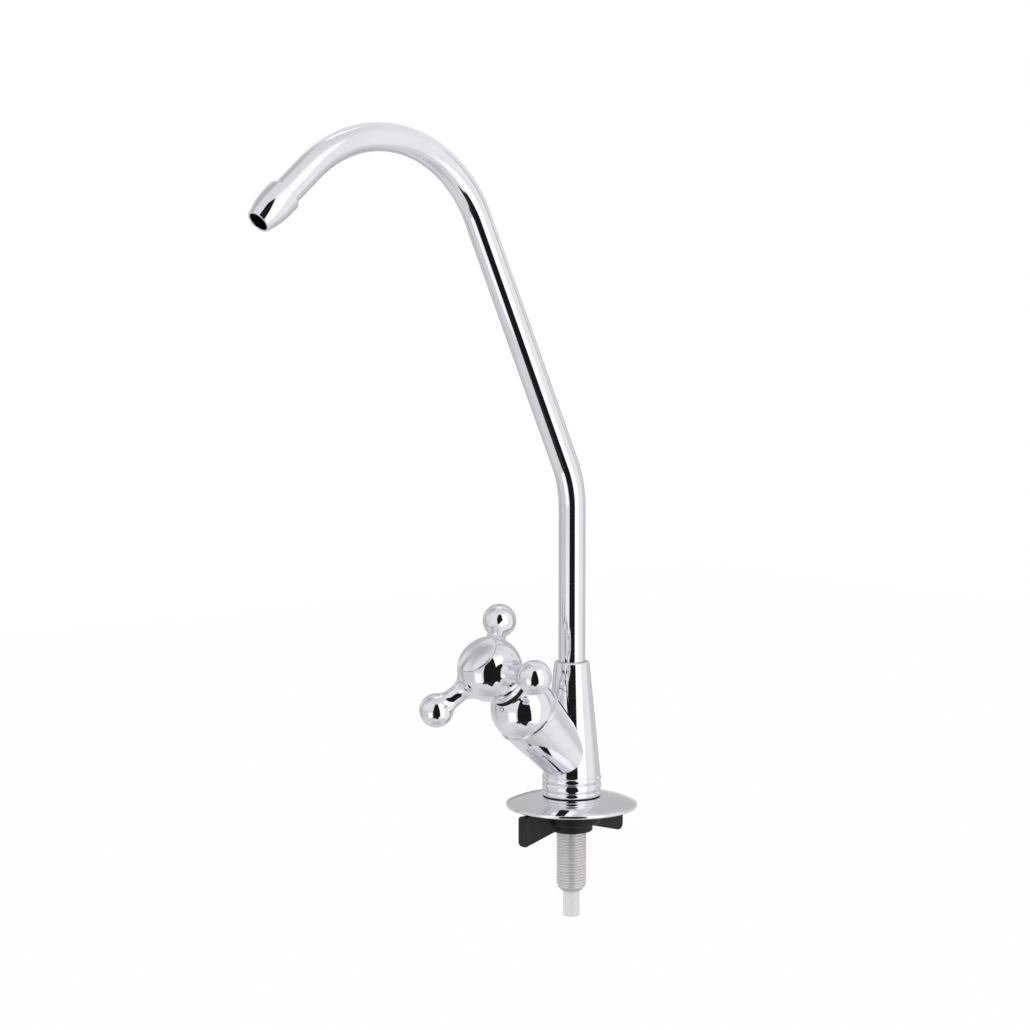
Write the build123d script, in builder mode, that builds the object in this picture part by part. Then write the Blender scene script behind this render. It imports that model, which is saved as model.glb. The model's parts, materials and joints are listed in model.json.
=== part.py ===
from build123d import *
import os
from math import cos, radians, sin

# A drinking water filter tap for a sink, in millimetres.
# The counter's top is z = 0, with the threaded shank below it, and +Z is up.
# The valve with its three-armed handle and the gooseneck spout lean forward, towards -Y.

os.makedirs("parts", exist_ok=True)

# Fits
running_gap = 0.05  # radial clearance where one piece turns in another
seat_gap = 0.02  # clearance between pieces that are screwed or pressed together
ring_gap = 0.02  # clearance between a rubber ring and the bore that it seals
groove_gap = 0.15  # end clearance of a ring or clip in its groove
overrun = 1.0  # how far a cut runs past the face that it opens

# Base plate, a pressed cover under the body
plate_radius = 24.5
plate_rim_height = 1.2
plate_height = 4.25
plate_wall = 1.0
plate_flat_radius = 11.4
plate_hole_gap = 0.3
gasket_edge_height = 0.3

# Body, a casting with an upright riser and a branch for the valve
foot_radius = 11.0
foot_height = 4.35
foot_groove_width = 0.3
foot_groove_depth = 0.35
bead_radius = 11.3
bead_height = 1.35
cone_base_radius = 11.0
body_height = 50.65
body_top_radius = 6.6
body_top_chamfer = 0.5
valve_tilt = 45.0
valve_root_height = 11.75
branch_root_radius = 9.0
branch_face_radius = 12.2
branch_length = 29.5
branch_edge_chamfer = 0.25
chamber_radius = 8.4
chamber_floor_distance = 12.0
port_radius = 3.0
inlet_radius = 3.2

# Threaded shank and the inlet tail that it holds
shank_radius = 5.55
shank_length_below = 31.7
shank_depth_in_body = 8.15
shank_chamfer_height = 2.1
shank_chamfer_depth = 1.55
shank_bore_radius = 4.2
shank_seal_thickness = 0.8
shank_seal_wall = 1.2
tail_radius = 3.175
tail_length_below = 9.9
tail_bore_radius = 2.1
tail_barrel_radius = 3.5
tail_barrel_length = 11.7
tail_collar_thickness = 2.0
tail_ring_section = 0.85

# Washer and wing nut under the counter
washer_radius = 12.0
washer_thickness = 1.2
washer_drop = 0.3
washer_hole_gap = 0.35
nut_flange_radius = 10.8
nut_flange_height = 4.5
nut_collar_radius = 7.9
nut_collar_height = 3.1
nut_edge_fillet = 0.6
wing_reach = 25.5
wing_thickness = 2.2
wing_step = 0.65
wing_root_rise = 0.7
wing_drop = 4.4
wing_corner_radius = 3.4
wing_shoulder_radius = 1.0

# Valve cartridge, in distances along the branch
seal_thickness = 1.4
seal_wall = 1.3
seal_side_gap = 0.2
disc_radius = 6.6
disc_side_gap = 0.1
disc_face_gap = 0.02
fixed_disc_thickness = 2.5
moving_disc_thickness = 2.3
disc_port_offset = 3.4
disc_port_radius = 1.6
dog_offset = 4.4
dog_length = 2.6
dog_width = 1.6
dog_height = 1.0
drive_flange_radius = 6.4
drive_flange_thickness = 2.6
thrust_washer_thickness = 0.6
housing_foot_gap = 0.6
housing_barrel_radius = 7.6
housing_barrel_length = 9.4
housing_window_width = 6.0
housing_window_height = 4.2
housing_window_start = 3.0
housing_ring_section = 0.8
housing_ring_drop = 1.9
hexagon_across = 18.0
hexagon_thickness = 2.5
neck_radius = 6.0
neck_length = 10.6
spindle_radius = 3.95
spindle_ring_section = 0.6
spindle_ring_step = 4.0
spindle_ring_start = 5.0
spindle_clip_thickness = 0.8
spindle_clip_radius = 5.3
spindle_clip_depth = 0.75
clip_opening_angle = 60.0
spindle_shoulder_length = 0.7
square_side = 4.8
square_length = 9.0
screw_radius = 1.45
screw_thread_length = 8.7

# Bonnet, the ball-shaped nut over the cartridge
bonnet_radius = 12.2
bonnet_centre_distance = 4.0
bonnet_height = 14.0
bonnet_lip_radius = 12.45
bonnet_lip_height = 0.8
bonnet_wall = 1.45
bonnet_thread_length = 4.0

# Handle with three ball-ended arms
handle_gap = 1.7
skirt_radius = 7.0
skirt_recess_radius = 5.6
skirt_recess_depth = 1.7
hub_radius = 11.9
hub_rise = 11.3
arm_count = 3
arm_gap = 6.45
arm_radius = 3.5
arm_fillet = 5.5
ball_radius = 6.25
web_thickness = 1.9
screw_hole_gap = 0.25
screw_head_radius = 2.9
screw_head_height = 1.8
screw_slot_width = 0.8
screw_slot_depth = 0.9
recess_radius = 4.0
cap_seat_rise = 8.4
cap_radius = 8.0
cap_edge_height = 0.4
cap_dome_height = 1.8
cap_edge_chamfer = 0.15
cap_spigot_length = 3.0

# Spout, a bent tube that swivels in the body
tube_radius = 5.0
tube_wall = 1.0
lean_angle = 25.0
lean_start_height = 57.2
lean_bend_radius = 41.0
slant_length = 98.2
crook_radius = 47.5
crook_turn = 105.5
tip_run = 13.8
tube_depth_in_nozzle = 5.0
guide_wall = 0.7
guide_length = 6.5
guide_recess = 0.5
clip_land = 0.75
spout_clip_thickness = 0.9
spout_clip_depth = 0.6
stem_radius = 4.9
stem_length = 9.8
stem_spigot_length = 5.5
stem_bore_radius = 2.6
spout_ring_section = 0.7
spout_ring_step = 3.3
spout_ring_start = 2.3
outlet_chamber_depth = 8.0

# Nozzle on the end of the spout
nozzle_rear_radius = 6.2
nozzle_tip_radius = 4.3
nozzle_length = 14.1
nozzle_barrel_length = 3.0
nozzle_mouth_radius = 3.6
nozzle_edge_fillet = 0.4
nozzle_lip_fillet = 0.25


def section_along(origin, direction):
    """The plane of a turned outline: x is the radius, y the distance along the axis."""
    return Plane(origin=origin, x_dir=(1, 0, 0), z_dir=Vector(1, 0, 0).cross(Vector(direction)))


# Heights of the body's main levels
body_top = plate_height + body_height
cone_base = plate_height + foot_height + foot_groove_width + bead_height
valve_root = plate_height + valve_root_height
shank_top = plate_height + shank_depth_in_body
socket_top = shank_top + shank_seal_thickness

# The valve's axis leans forward from the riser's axis
valve_direction = Vector(0, -sin(radians(valve_tilt)), cos(radians(valve_tilt)))
valve_origin = Vector(0, 0, valve_root)
valve_axis = Axis(valve_origin, valve_direction)
valve_section = section_along(valve_origin, valve_direction)


def across_valve(distance):
    """The plane square to the valve's axis at this distance from its root."""
    return Plane(
        origin=valve_origin + valve_direction * distance,
        x_dir=(1, 0, 0),
        z_dir=valve_direction,
    )


# Distances of the stacked valve pieces from the root
fixed_disc_start = chamber_floor_distance + seal_thickness
moving_disc_start = fixed_disc_start + fixed_disc_thickness + disc_face_gap
drive_flange_start = moving_disc_start + moving_disc_thickness
thrust_washer_start = drive_flange_start + drive_flange_thickness
housing_shoulder = thrust_washer_start + thrust_washer_thickness + running_gap
housing_start = chamber_floor_distance + housing_foot_gap
housing_thread_start = housing_start + housing_barrel_length
neck_start = branch_length + hexagon_thickness
neck_end = neck_start + neck_length
bonnet_centre = branch_length + bonnet_centre_distance
bonnet_end = branch_length + bonnet_height
handle_start = bonnet_end + handle_gap
hub_centre = handle_start + hub_rise
spindle_clip_start = neck_end + groove_gap
spindle_barrel_end = spindle_clip_start + spindle_clip_thickness + groove_gap + spindle_shoulder_length
square_end = spindle_barrel_end + square_length
web_start = square_end + groove_gap
web_end = web_start + web_thickness
cap_seat = hub_centre + cap_seat_rise

# Base plate
plate_hole_radius = shank_radius + plate_hole_gap
with BuildPart() as base_plate:
    with BuildSketch(Plane.XZ):
        with BuildLine():
            top_flat = Line((plate_hole_radius, plate_height), (plate_flat_radius, plate_height))
            dome = TangentArc(top_flat @ 1, (plate_radius, plate_rim_height), tangent=(1, 0))
            rim = Polyline(
                dome @ 1,
                (plate_radius, 0),
                (plate_radius - plate_wall, 0),
                (plate_radius - plate_wall, plate_rim_height - plate_wall / 2),
            )
            inner_flat = Line(
                (plate_flat_radius, plate_height - plate_wall),
                (plate_hole_radius, plate_height - plate_wall),
            )
            TangentArc(inner_flat @ 0, rim @ 1, tangent=(1, 0))
            Line(inner_flat @ 1, top_flat @ 0)
        make_face()
    revolve(axis=Axis.Z)
base_plate.part.label = "base_plate"
export_step(base_plate.part, "parts/base_plate.step")

# Rubber gasket in the hollow of the plate, level with its rim
gasket_radius = plate_radius - plate_wall - seat_gap
with BuildPart() as base_gasket:
    with BuildSketch(Plane.XZ):
        with BuildLine():
            Polyline(
                (plate_hole_radius, 0),
                (gasket_radius, 0),
                (gasket_radius, gasket_edge_height),
                (plate_flat_radius, plate_height - plate_wall),
                (plate_hole_radius, plate_height - plate_wall),
                close=True,
            )
        make_face()
    revolve(axis=Axis.Z)
base_gasket.part.label = "base_gasket"
export_step(base_gasket.part, "parts/base_gasket.step")

# Bores of the body for the spout's pieces, from the top down
guide_inner_radius = tube_radius + running_gap
guide_outer_radius = guide_inner_radius + guide_wall
guide_top = body_top - guide_recess
guide_bottom = guide_top - guide_length
spout_clip_top = guide_bottom - groove_gap
spout_clip_bottom = spout_clip_top - spout_clip_thickness
clip_ledge = spout_clip_bottom - groove_gap
stem_bottom = clip_ledge - stem_length
stem_bore = stem_radius + running_gap
stem_top = guide_bottom + clip_land
outlet_floor = stem_bottom - outlet_chamber_depth

# Body
with BuildPart() as body_casting:
    with BuildSketch(Plane.XZ):
        with BuildLine():
            groove_low = plate_height + foot_height
            groove_high = groove_low + foot_groove_width
            Polyline(
                (0, plate_height),
                (foot_radius, plate_height),
                (foot_radius, groove_low),
                (foot_radius - foot_groove_depth, groove_low + foot_groove_width / 2),
                (bead_radius - foot_groove_depth, groove_high),
                (bead_radius, groove_high + foot_groove_depth),
                (bead_radius, cone_base - foot_groove_depth),
                (cone_base_radius, cone_base),
                (body_top_radius, body_top - body_top_chamfer),
                (body_top_radius - body_top_chamfer, body_top),
                (0, body_top),
                close=True,
            )
        make_face()
    revolve(axis=Axis.Z)
    with BuildSketch(valve_section):
        with BuildLine():
            Polyline(
                (0, 0),
                (branch_root_radius, 0),
                (branch_face_radius, branch_length - branch_edge_chamfer),
                (branch_face_radius - branch_edge_chamfer, branch_length),
                (0, branch_length),
                close=True,
            )
        make_face()
    revolve(axis=valve_axis)
    with BuildSketch(Plane.XY.offset(plate_height)):
        Circle(shank_radius + seat_gap)
    extrude(amount=socket_top - plate_height, mode=Mode.SUBTRACT)
    with BuildSketch(Plane.XY.offset(socket_top)):
        Circle(inlet_radius)
    extrude(amount=valve_root - socket_top, mode=Mode.SUBTRACT)
    with Locations(valve_origin):
        Sphere(inlet_radius, mode=Mode.SUBTRACT)
    with BuildSketch(across_valve(0)):
        Circle(port_radius)
    extrude(amount=chamber_floor_distance, mode=Mode.SUBTRACT)
    with BuildSketch(across_valve(chamber_floor_distance)):
        Circle(chamber_radius)
    extrude(amount=branch_length - chamber_floor_distance, mode=Mode.SUBTRACT)
    with BuildSketch(Plane.XY.offset(outlet_floor)):
        Circle(stem_bore)
    extrude(amount=body_top - outlet_floor, mode=Mode.SUBTRACT)
    with BuildSketch(Plane.XY.offset(clip_ledge)):
        Circle(guide_outer_radius + seat_gap)
    extrude(amount=body_top - clip_ledge, mode=Mode.SUBTRACT)
body_casting.part.label = "body_casting"
export_step(body_casting.part, "parts/body_casting.step")

# Threaded shank, a tube that is chamfered at its lower end
tail_ledge = -shank_length_below + tail_barrel_length
tail_bore_in_shank = tail_barrel_radius + seat_gap
with BuildPart() as threaded_shank:
    with BuildSketch(Plane.XZ):
        with BuildLine():
            Polyline(
                (shank_bore_radius, shank_top),
                (shank_radius, shank_top),
                (shank_radius, -shank_length_below + shank_chamfer_height),
                (shank_radius - shank_chamfer_depth, -shank_length_below),
                (tail_bore_in_shank, -shank_length_below),
                (tail_bore_in_shank, tail_ledge),
                (shank_bore_radius, tail_ledge),
                close=True,
            )
        make_face()
    revolve(axis=Axis.Z)
threaded_shank.part.label = "threaded_shank"
export_step(threaded_shank.part, "parts/threaded_shank.step")

# Fibre washer that seals the shank's top in the body
with BuildPart() as shank_seal:
    with BuildSketch(Plane.XY.offset(shank_top)):
        Circle(shank_radius)
        Circle(shank_radius - shank_seal_wall, mode=Mode.SUBTRACT)
    extrude(amount=shank_seal_thickness)
shank_seal.part.label = "shank_seal"
export_step(shank_seal.part, "parts/shank_seal.step")

# White inlet tail: it drops in from the top, its collar lies on the ledge in the shank
with BuildPart() as inlet_tail:
    with BuildSketch(Plane.XZ):
        with BuildLine():
            Polyline(
                (tail_bore_radius, tail_ledge + tail_collar_thickness),
                (shank_bore_radius - seat_gap, tail_ledge + tail_collar_thickness),
                (shank_bore_radius - seat_gap, tail_ledge),
                (tail_barrel_radius, tail_ledge),
                (tail_barrel_radius, -shank_length_below),
                (tail_radius, -shank_length_below),
                (tail_radius, -shank_length_below - tail_length_below),
                (tail_bore_radius, -shank_length_below - tail_length_below),
                close=True,
            )
        make_face()
    revolve(axis=Axis.Z)
inlet_tail.part.label = "inlet_tail"
export_step(inlet_tail.part, "parts/inlet_tail.step")

# Rubber ring on top of the collar
tail_ring_height = tail_ledge + tail_collar_thickness + tail_ring_section
with BuildPart() as inlet_tail_ring:
    with Locations((0, 0, tail_ring_height)):
        Torus(shank_bore_radius - ring_gap - tail_ring_section, tail_ring_section)
inlet_tail_ring.part.label = "inlet_tail_ring"
export_step(inlet_tail_ring.part, "parts/inlet_tail_ring.step")

# Lip seal under the fixed disc
housing_bore_radius = disc_radius + disc_side_gap
seal_radius = housing_bore_radius - seal_side_gap
with BuildPart() as seat_seal:
    with BuildSketch(across_valve(chamber_floor_distance)):
        Circle(seal_radius)
        Circle(seal_radius - seal_wall, mode=Mode.SUBTRACT)
    extrude(amount=seal_thickness)
seat_seal.part.label = "seat_seal"
export_step(seat_seal.part, "parts/seat_seal.step")

# Fixed ceramic disc with its two ports
with BuildPart() as fixed_disc:
    with BuildSketch(across_valve(fixed_disc_start)):
        Circle(disc_radius)
        with PolarLocations(disc_port_offset, 2):
            Circle(disc_port_radius, mode=Mode.SUBTRACT)
    extrude(amount=fixed_disc_thickness)
fixed_disc.part.label = "fixed_disc"
export_step(fixed_disc.part, "parts/fixed_disc.step")

# Moving ceramic disc: a quarter turn brings its notches over the ports
notch_radius = disc_port_radius + disc_side_gap
with BuildPart() as moving_disc:
    with BuildSketch(across_valve(moving_disc_start)):
        Circle(disc_radius)
        with PolarLocations(disc_port_offset, 2, start_angle=90):
            Circle(notch_radius, mode=Mode.SUBTRACT)
        with PolarLocations(disc_port_offset + disc_radius / 2, 2, start_angle=90):
            Rectangle(disc_radius, 2 * notch_radius, mode=Mode.SUBTRACT)
    extrude(amount=moving_disc_thickness)
    with BuildSketch(across_valve(drive_flange_start)):
        with PolarLocations(dog_offset, 2):
            Rectangle(dog_length + 2 * seat_gap, dog_width + 2 * seat_gap)
    extrude(amount=-(dog_height + seat_gap), mode=Mode.SUBTRACT)
moving_disc.part.label = "moving_disc"
export_step(moving_disc.part, "parts/moving_disc.step")

# Spindle: two dogs drive the moving disc, a square end carries the handle
spindle_ring_distances = [
    housing_shoulder + spindle_ring_start + count * spindle_ring_step for count in range(2)
]
spindle_bore = spindle_radius + running_gap
spindle_groove_radius = spindle_bore - ring_gap - 2 * spindle_ring_section
spindle_groove_width = 2 * (spindle_ring_section + groove_gap)
with BuildPart() as valve_spindle:
    with BuildSketch(across_valve(drive_flange_start)):
        Circle(drive_flange_radius)
    extrude(amount=drive_flange_thickness)
    with BuildSketch(across_valve(drive_flange_start)):
        with PolarLocations(dog_offset, 2):
            Rectangle(dog_length, dog_width)
    extrude(amount=-dog_height)
    with BuildSketch(across_valve(thrust_washer_start)):
        Circle(spindle_radius)
    extrude(amount=spindle_barrel_end - thrust_washer_start)
    with BuildSketch(across_valve(spindle_barrel_end)):
        Rectangle(square_side, square_side)
    extrude(amount=square_length)
    for distance in spindle_ring_distances:
        with BuildSketch(across_valve(distance - spindle_groove_width / 2)):
            Circle(spindle_radius)
            Circle(spindle_groove_radius, mode=Mode.SUBTRACT)
        extrude(amount=spindle_groove_width, mode=Mode.SUBTRACT)
    with BuildSketch(across_valve(spindle_clip_start - groove_gap)):
        Circle(spindle_radius)
        Circle(spindle_radius - spindle_clip_depth, mode=Mode.SUBTRACT)
    extrude(amount=spindle_clip_thickness + 2 * groove_gap, mode=Mode.SUBTRACT)
    with BuildSketch(across_valve(square_end)):
        Circle(screw_radius + seat_gap)
    extrude(amount=-screw_thread_length, mode=Mode.SUBTRACT)
valve_spindle.part.label = "valve_spindle"
export_step(valve_spindle.part, "parts/valve_spindle.step")

# Rubber rings on the spindle
with BuildPart() as spindle_rings:
    for distance in spindle_ring_distances:
        with Locations(across_valve(distance)):
            Torus(spindle_groove_radius + spindle_ring_section, spindle_ring_section)
spindle_rings.part.label = "spindle_rings"
export_step(spindle_rings.part, "parts/spindle_rings.step")

# Open clip that keeps the spindle in its housing
with BuildPart() as spindle_clip:
    with BuildSketch(valve_section):
        with Locations((spindle_radius - spindle_clip_depth + seat_gap, spindle_clip_start)):
            Rectangle(
                spindle_clip_radius - spindle_radius + spindle_clip_depth - seat_gap,
                spindle_clip_thickness,
                align=(Align.MIN, Align.MIN),
            )
    revolve(axis=valve_axis, revolution_arc=360 - clip_opening_angle)
spindle_clip.part.label = "spindle_clip"
export_step(spindle_clip.part, "parts/spindle_clip.step")

# Slippery washer between the spindle's flange and the housing
with BuildPart() as thrust_washer:
    with BuildSketch(across_valve(thrust_washer_start)):
        Circle(drive_flange_radius)
        Circle(spindle_radius + running_gap, mode=Mode.SUBTRACT)
    extrude(amount=thrust_washer_thickness)
thrust_washer.part.label = "thrust_washer"
export_step(thrust_washer.part, "parts/thrust_washer.step")

# Cartridge housing, screwed into the branch
housing_thread_radius = chamber_radius - seat_gap
housing_ring_distance = branch_length - housing_ring_drop
housing_groove_radius = chamber_radius - ring_gap - 2 * housing_ring_section
housing_groove_width = 2 * (housing_ring_section + groove_gap)
with BuildPart() as cartridge_housing:
    with BuildSketch(valve_section):
        with BuildLine():
            Polyline(
                (housing_bore_radius, housing_start),
                (housing_barrel_radius, housing_start),
                (housing_barrel_radius, housing_thread_start),
                (housing_thread_radius, housing_thread_start),
                (housing_thread_radius, branch_length),
                (neck_radius, branch_length),
                (neck_radius, neck_end),
                (spindle_bore, neck_end),
                (spindle_bore, housing_shoulder),
                (housing_bore_radius, housing_shoulder),
                close=True,
            )
        make_face()
    revolve(axis=valve_axis)
    with BuildSketch(across_valve(branch_length)):
        RegularPolygon(hexagon_across / 2, 6, major_radius=False)
        Circle(neck_radius, mode=Mode.SUBTRACT)
    extrude(amount=hexagon_thickness)
    with BuildSketch(across_valve(housing_ring_distance - housing_groove_width / 2)):
        Circle(housing_thread_radius)
        Circle(housing_groove_radius, mode=Mode.SUBTRACT)
    extrude(amount=housing_groove_width, mode=Mode.SUBTRACT)
    with BuildSketch(across_valve(housing_start + housing_window_start)):
        Rectangle(housing_window_width, 2 * chamber_radius)
    extrude(amount=housing_window_height, mode=Mode.SUBTRACT)
cartridge_housing.part.label = "cartridge_housing"
export_step(cartridge_housing.part, "parts/cartridge_housing.step")

# Rubber ring between the housing and the branch
with BuildPart() as housing_ring:
    with Locations(across_valve(housing_ring_distance)):
        Torus(housing_groove_radius + housing_ring_section, housing_ring_section)
housing_ring.part.label = "housing_ring"
export_step(housing_ring.part, "parts/housing_ring.step")

# Bonnet: a hollow ball with a lip, screwed down on the housing's neck
bonnet_thread_radius = neck_radius + seat_gap
bonnet_bore_radius = bonnet_radius - bonnet_wall
cavity_end = bonnet_end - bonnet_thread_length
lip_end = branch_length + bonnet_lip_height


def bonnet_at(radius, distance):
    """Radius of a ball about the bonnet's centre, at a distance along the valve's axis."""
    return (radius**2 - (distance - bonnet_centre) ** 2) ** 0.5


with BuildPart() as bonnet:
    with BuildSketch(valve_section):
        with BuildLine():
            Polyline(
                (bonnet_bore_radius, bonnet_centre),
                (bonnet_bore_radius, branch_length),
                (bonnet_lip_radius, branch_length),
                (bonnet_lip_radius, lip_end),
                (bonnet_at(bonnet_radius, lip_end), lip_end),
            )
            RadiusArc(
                (bonnet_at(bonnet_radius, lip_end), lip_end),
                (bonnet_at(bonnet_radius, bonnet_end), bonnet_end),
                -bonnet_radius,
            )
            Polyline(
                (bonnet_at(bonnet_radius, bonnet_end), bonnet_end),
                (bonnet_thread_radius, bonnet_end),
                (bonnet_thread_radius, cavity_end),
                (bonnet_at(bonnet_bore_radius, cavity_end), cavity_end),
            )
            RadiusArc(
                (bonnet_at(bonnet_bore_radius, cavity_end), cavity_end),
                (bonnet_bore_radius, bonnet_centre),
                bonnet_bore_radius,
            )
        make_face()
    revolve(axis=valve_axis)
bonnet.part.label = "bonnet"
export_step(bonnet.part, "parts/bonnet.step")

# One arm, turned about its own axis: it starts in the hub and flares into its ball
arm_length = hub_radius + arm_gap + ball_radius
neck_centre_height = arm_radius + arm_fillet
neck_reach = ((ball_radius + arm_fillet) ** 2 - neck_centre_height**2) ** 0.5
neck_share = ball_radius / (ball_radius + arm_fillet)
with BuildPart() as arm:
    with BuildSketch(Plane.XZ):
        with BuildLine():
            Polyline(
                (arm_length + ball_radius, 0),
                (0, 0),
                (0, arm_radius),
                (arm_length - neck_reach, arm_radius),
            )
            RadiusArc(
                (arm_length - neck_reach, arm_radius),
                (arm_length - neck_reach * neck_share, neck_centre_height * neck_share),
                -arm_fillet,
            )
            ThreePointArc(
                (arm_length - neck_reach * neck_share, neck_centre_height * neck_share),
                (arm_length, ball_radius),
                (arm_length + ball_radius, 0),
            )
        make_face()
    revolve(axis=Axis.X)

# Handle: a ball-shaped hub on a skirt, with three arms that flare out of it
hub_point = valve_origin + valve_direction * hub_centre
with BuildPart(across_valve(hub_centre)) as handle:
    Sphere(hub_radius)
    with PolarLocations(0, arm_count):
        add(arm.part)
    round_edges = handle.edges().filter_by(GeomType.CIRCLE).group_by(SortBy.RADIUS)[0]
    fillet(round_edges.sort_by_distance(hub_point)[:arm_count], radius=arm_fillet)
    with BuildSketch(across_valve(handle_start)):
        Circle(skirt_radius)
    extrude(amount=hub_rise)
    with BuildSketch(across_valve(handle_start)):
        Circle(hub_radius)
    extrude(amount=-hub_radius, mode=Mode.SUBTRACT)
    with BuildSketch(across_valve(cap_seat)):
        Circle(hub_radius)
    extrude(amount=hub_radius, mode=Mode.SUBTRACT)
    with BuildSketch(across_valve(handle_start)):
        Circle(skirt_recess_radius)
    extrude(amount=skirt_recess_depth, mode=Mode.SUBTRACT)
    with BuildSketch(across_valve(handle_start)):
        Rectangle(square_side + 2 * seat_gap, square_side + 2 * seat_gap)
    extrude(amount=web_start - handle_start, mode=Mode.SUBTRACT)
    with BuildSketch(across_valve(web_start)):
        Circle(screw_radius + screw_hole_gap)
    extrude(amount=web_thickness, mode=Mode.SUBTRACT)
    with BuildSketch(across_valve(web_end)):
        Circle(recess_radius)
    extrude(amount=cap_seat - web_end, mode=Mode.SUBTRACT)
handle.part.label = "handle"
export_step(handle.part, "parts/handle.step")

# Screw that holds the handle on the spindle
with BuildPart() as handle_screw:
    with BuildSketch(across_valve(web_end)):
        Circle(screw_head_radius)
    extrude(amount=screw_head_height)
    fillet(handle_screw.faces().sort_by(valve_axis)[-1].edges(), radius=screw_head_height / 2)
    with BuildSketch(across_valve(web_end)):
        Circle(screw_radius)
    extrude(amount=-(web_thickness + groove_gap + screw_thread_length - overrun))
    with BuildSketch(across_valve(web_end + screw_head_height)):
        Rectangle(screw_slot_width, screw_head_radius)
        Rectangle(screw_head_radius, screw_slot_width)
    extrude(amount=-screw_slot_depth, mode=Mode.SUBTRACT)
handle_screw.part.label = "handle_screw"
export_step(handle_screw.part, "parts/handle_screw.step")

# Low domed cap over the screw
cap_edge_top = cap_seat + cap_edge_height
with BuildPart() as handle_cap:
    with BuildSketch(valve_section):
        with BuildLine():
            rim = Polyline(
                (0, cap_edge_top + cap_dome_height),
                (0, cap_seat - cap_spigot_length),
                (recess_radius - seat_gap, cap_seat - cap_spigot_length),
                (recess_radius - seat_gap, cap_seat),
                (cap_radius - cap_edge_chamfer, cap_seat),
                (cap_radius, cap_seat + cap_edge_chamfer),
                (cap_radius, cap_edge_top),
            )
            TangentArc(rim @ 0, rim @ 1, tangent=(1, 0))
        make_face()
    revolve(axis=valve_axis)
handle_cap.part.label = "handle_cap"
export_step(handle_cap.part, "parts/handle_cap.step")

# Guide bush pressed into the body's top
with BuildPart() as guide_bush:
    with BuildSketch(Plane.XY.offset(guide_bottom)):
        Circle(guide_outer_radius)
        Circle(guide_inner_radius, mode=Mode.SUBTRACT)
    extrude(amount=guide_length)
guide_bush.part.label = "guide_bush"
export_step(guide_bush.part, "parts/guide_bush.step")

# Spout tube: upright, a gentle lean forward, then one large crook down to the nozzle
side_plane = Plane(origin=(0, 0, 0), x_dir=(0, -1, 0), z_dir=(-1, 0, 0))
lean_start = body_top + lean_start_height
with BuildLine(side_plane) as spout_path:
    riser_run = Line((0, stem_top), (0, lean_start))
    lean_bend = JernArc(riser_run @ 1, riser_run % 1, lean_bend_radius, -lean_angle)
    slant_run = PolarLine(lean_bend @ 1, slant_length, angle=90 - lean_angle)
    crook = JernArc(slant_run @ 1, slant_run % 1, crook_radius, -crook_turn)
    outlet_angle = 90 - lean_angle - crook_turn
    outlet_run = PolarLine(crook @ 1, tip_run + tube_depth_in_nozzle, angle=outlet_angle)
with BuildPart() as spout_tube:
    with BuildSketch(Plane.XY.offset(stem_top)):
        Circle(tube_radius)
        Circle(tube_radius - tube_wall, mode=Mode.SUBTRACT)
    sweep(path=spout_path.line)
spout_tube.part.label = "spout_tube"
export_step(spout_tube.part, "parts/spout_tube.step")

# Turned stem brazed into the foot of the tube, with grooves for its clip and rings
spout_ring_heights = [
    clip_ledge - spout_ring_start - count * spout_ring_step for count in range(2)
]
spout_groove_radius = stem_bore - ring_gap - 2 * spout_ring_section
spout_groove_width = 2 * (spout_ring_section + groove_gap)
with BuildPart() as spout_stem:
    with BuildSketch(Plane.XY.offset(stem_bottom)):
        Circle(stem_radius)
    extrude(amount=stem_top - stem_bottom)
    with BuildSketch(Plane.XY.offset(stem_top)):
        Circle(tube_radius - tube_wall - seat_gap)
    extrude(amount=stem_spigot_length)
    for height in spout_ring_heights:
        with BuildSketch(Plane.XY.offset(height - spout_groove_width / 2)):
            Circle(stem_radius)
            Circle(spout_groove_radius, mode=Mode.SUBTRACT)
        extrude(amount=spout_groove_width, mode=Mode.SUBTRACT)
    with BuildSketch(Plane.XY.offset(spout_clip_bottom - groove_gap)):
        Circle(stem_radius)
        Circle(stem_radius - spout_clip_depth, mode=Mode.SUBTRACT)
    extrude(amount=spout_clip_thickness + 2 * groove_gap, mode=Mode.SUBTRACT)
    with BuildSketch(Plane.XY.offset(stem_bottom)):
        Circle(stem_bore_radius)
    extrude(amount=stem_top - stem_bottom + stem_spigot_length, mode=Mode.SUBTRACT)
spout_stem.part.label = "spout_stem"
export_step(spout_stem.part, "parts/spout_stem.step")

# Rubber rings on the stem
with BuildPart() as spout_rings:
    for height in spout_ring_heights:
        with Locations((0, 0, height)):
            Torus(spout_groove_radius + spout_ring_section, spout_ring_section)
spout_rings.part.label = "spout_rings"
export_step(spout_rings.part, "parts/spout_rings.step")

# Open clip that keeps the spout in the body
spout_clip_inner = stem_radius - spout_clip_depth + seat_gap
spout_clip_outer = guide_outer_radius - running_gap
with BuildPart() as spout_clip:
    with BuildSketch(Plane.XZ):
        with Locations((spout_clip_inner, spout_clip_bottom)):
            Rectangle(
                spout_clip_outer - spout_clip_inner,
                spout_clip_thickness,
                align=(Align.MIN, Align.MIN),
            )
    revolve(axis=Axis.Z, revolution_arc=360 - clip_opening_angle)
spout_clip.part.label = "spout_clip"
export_step(spout_clip.part, "parts/spout_clip.step")

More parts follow.
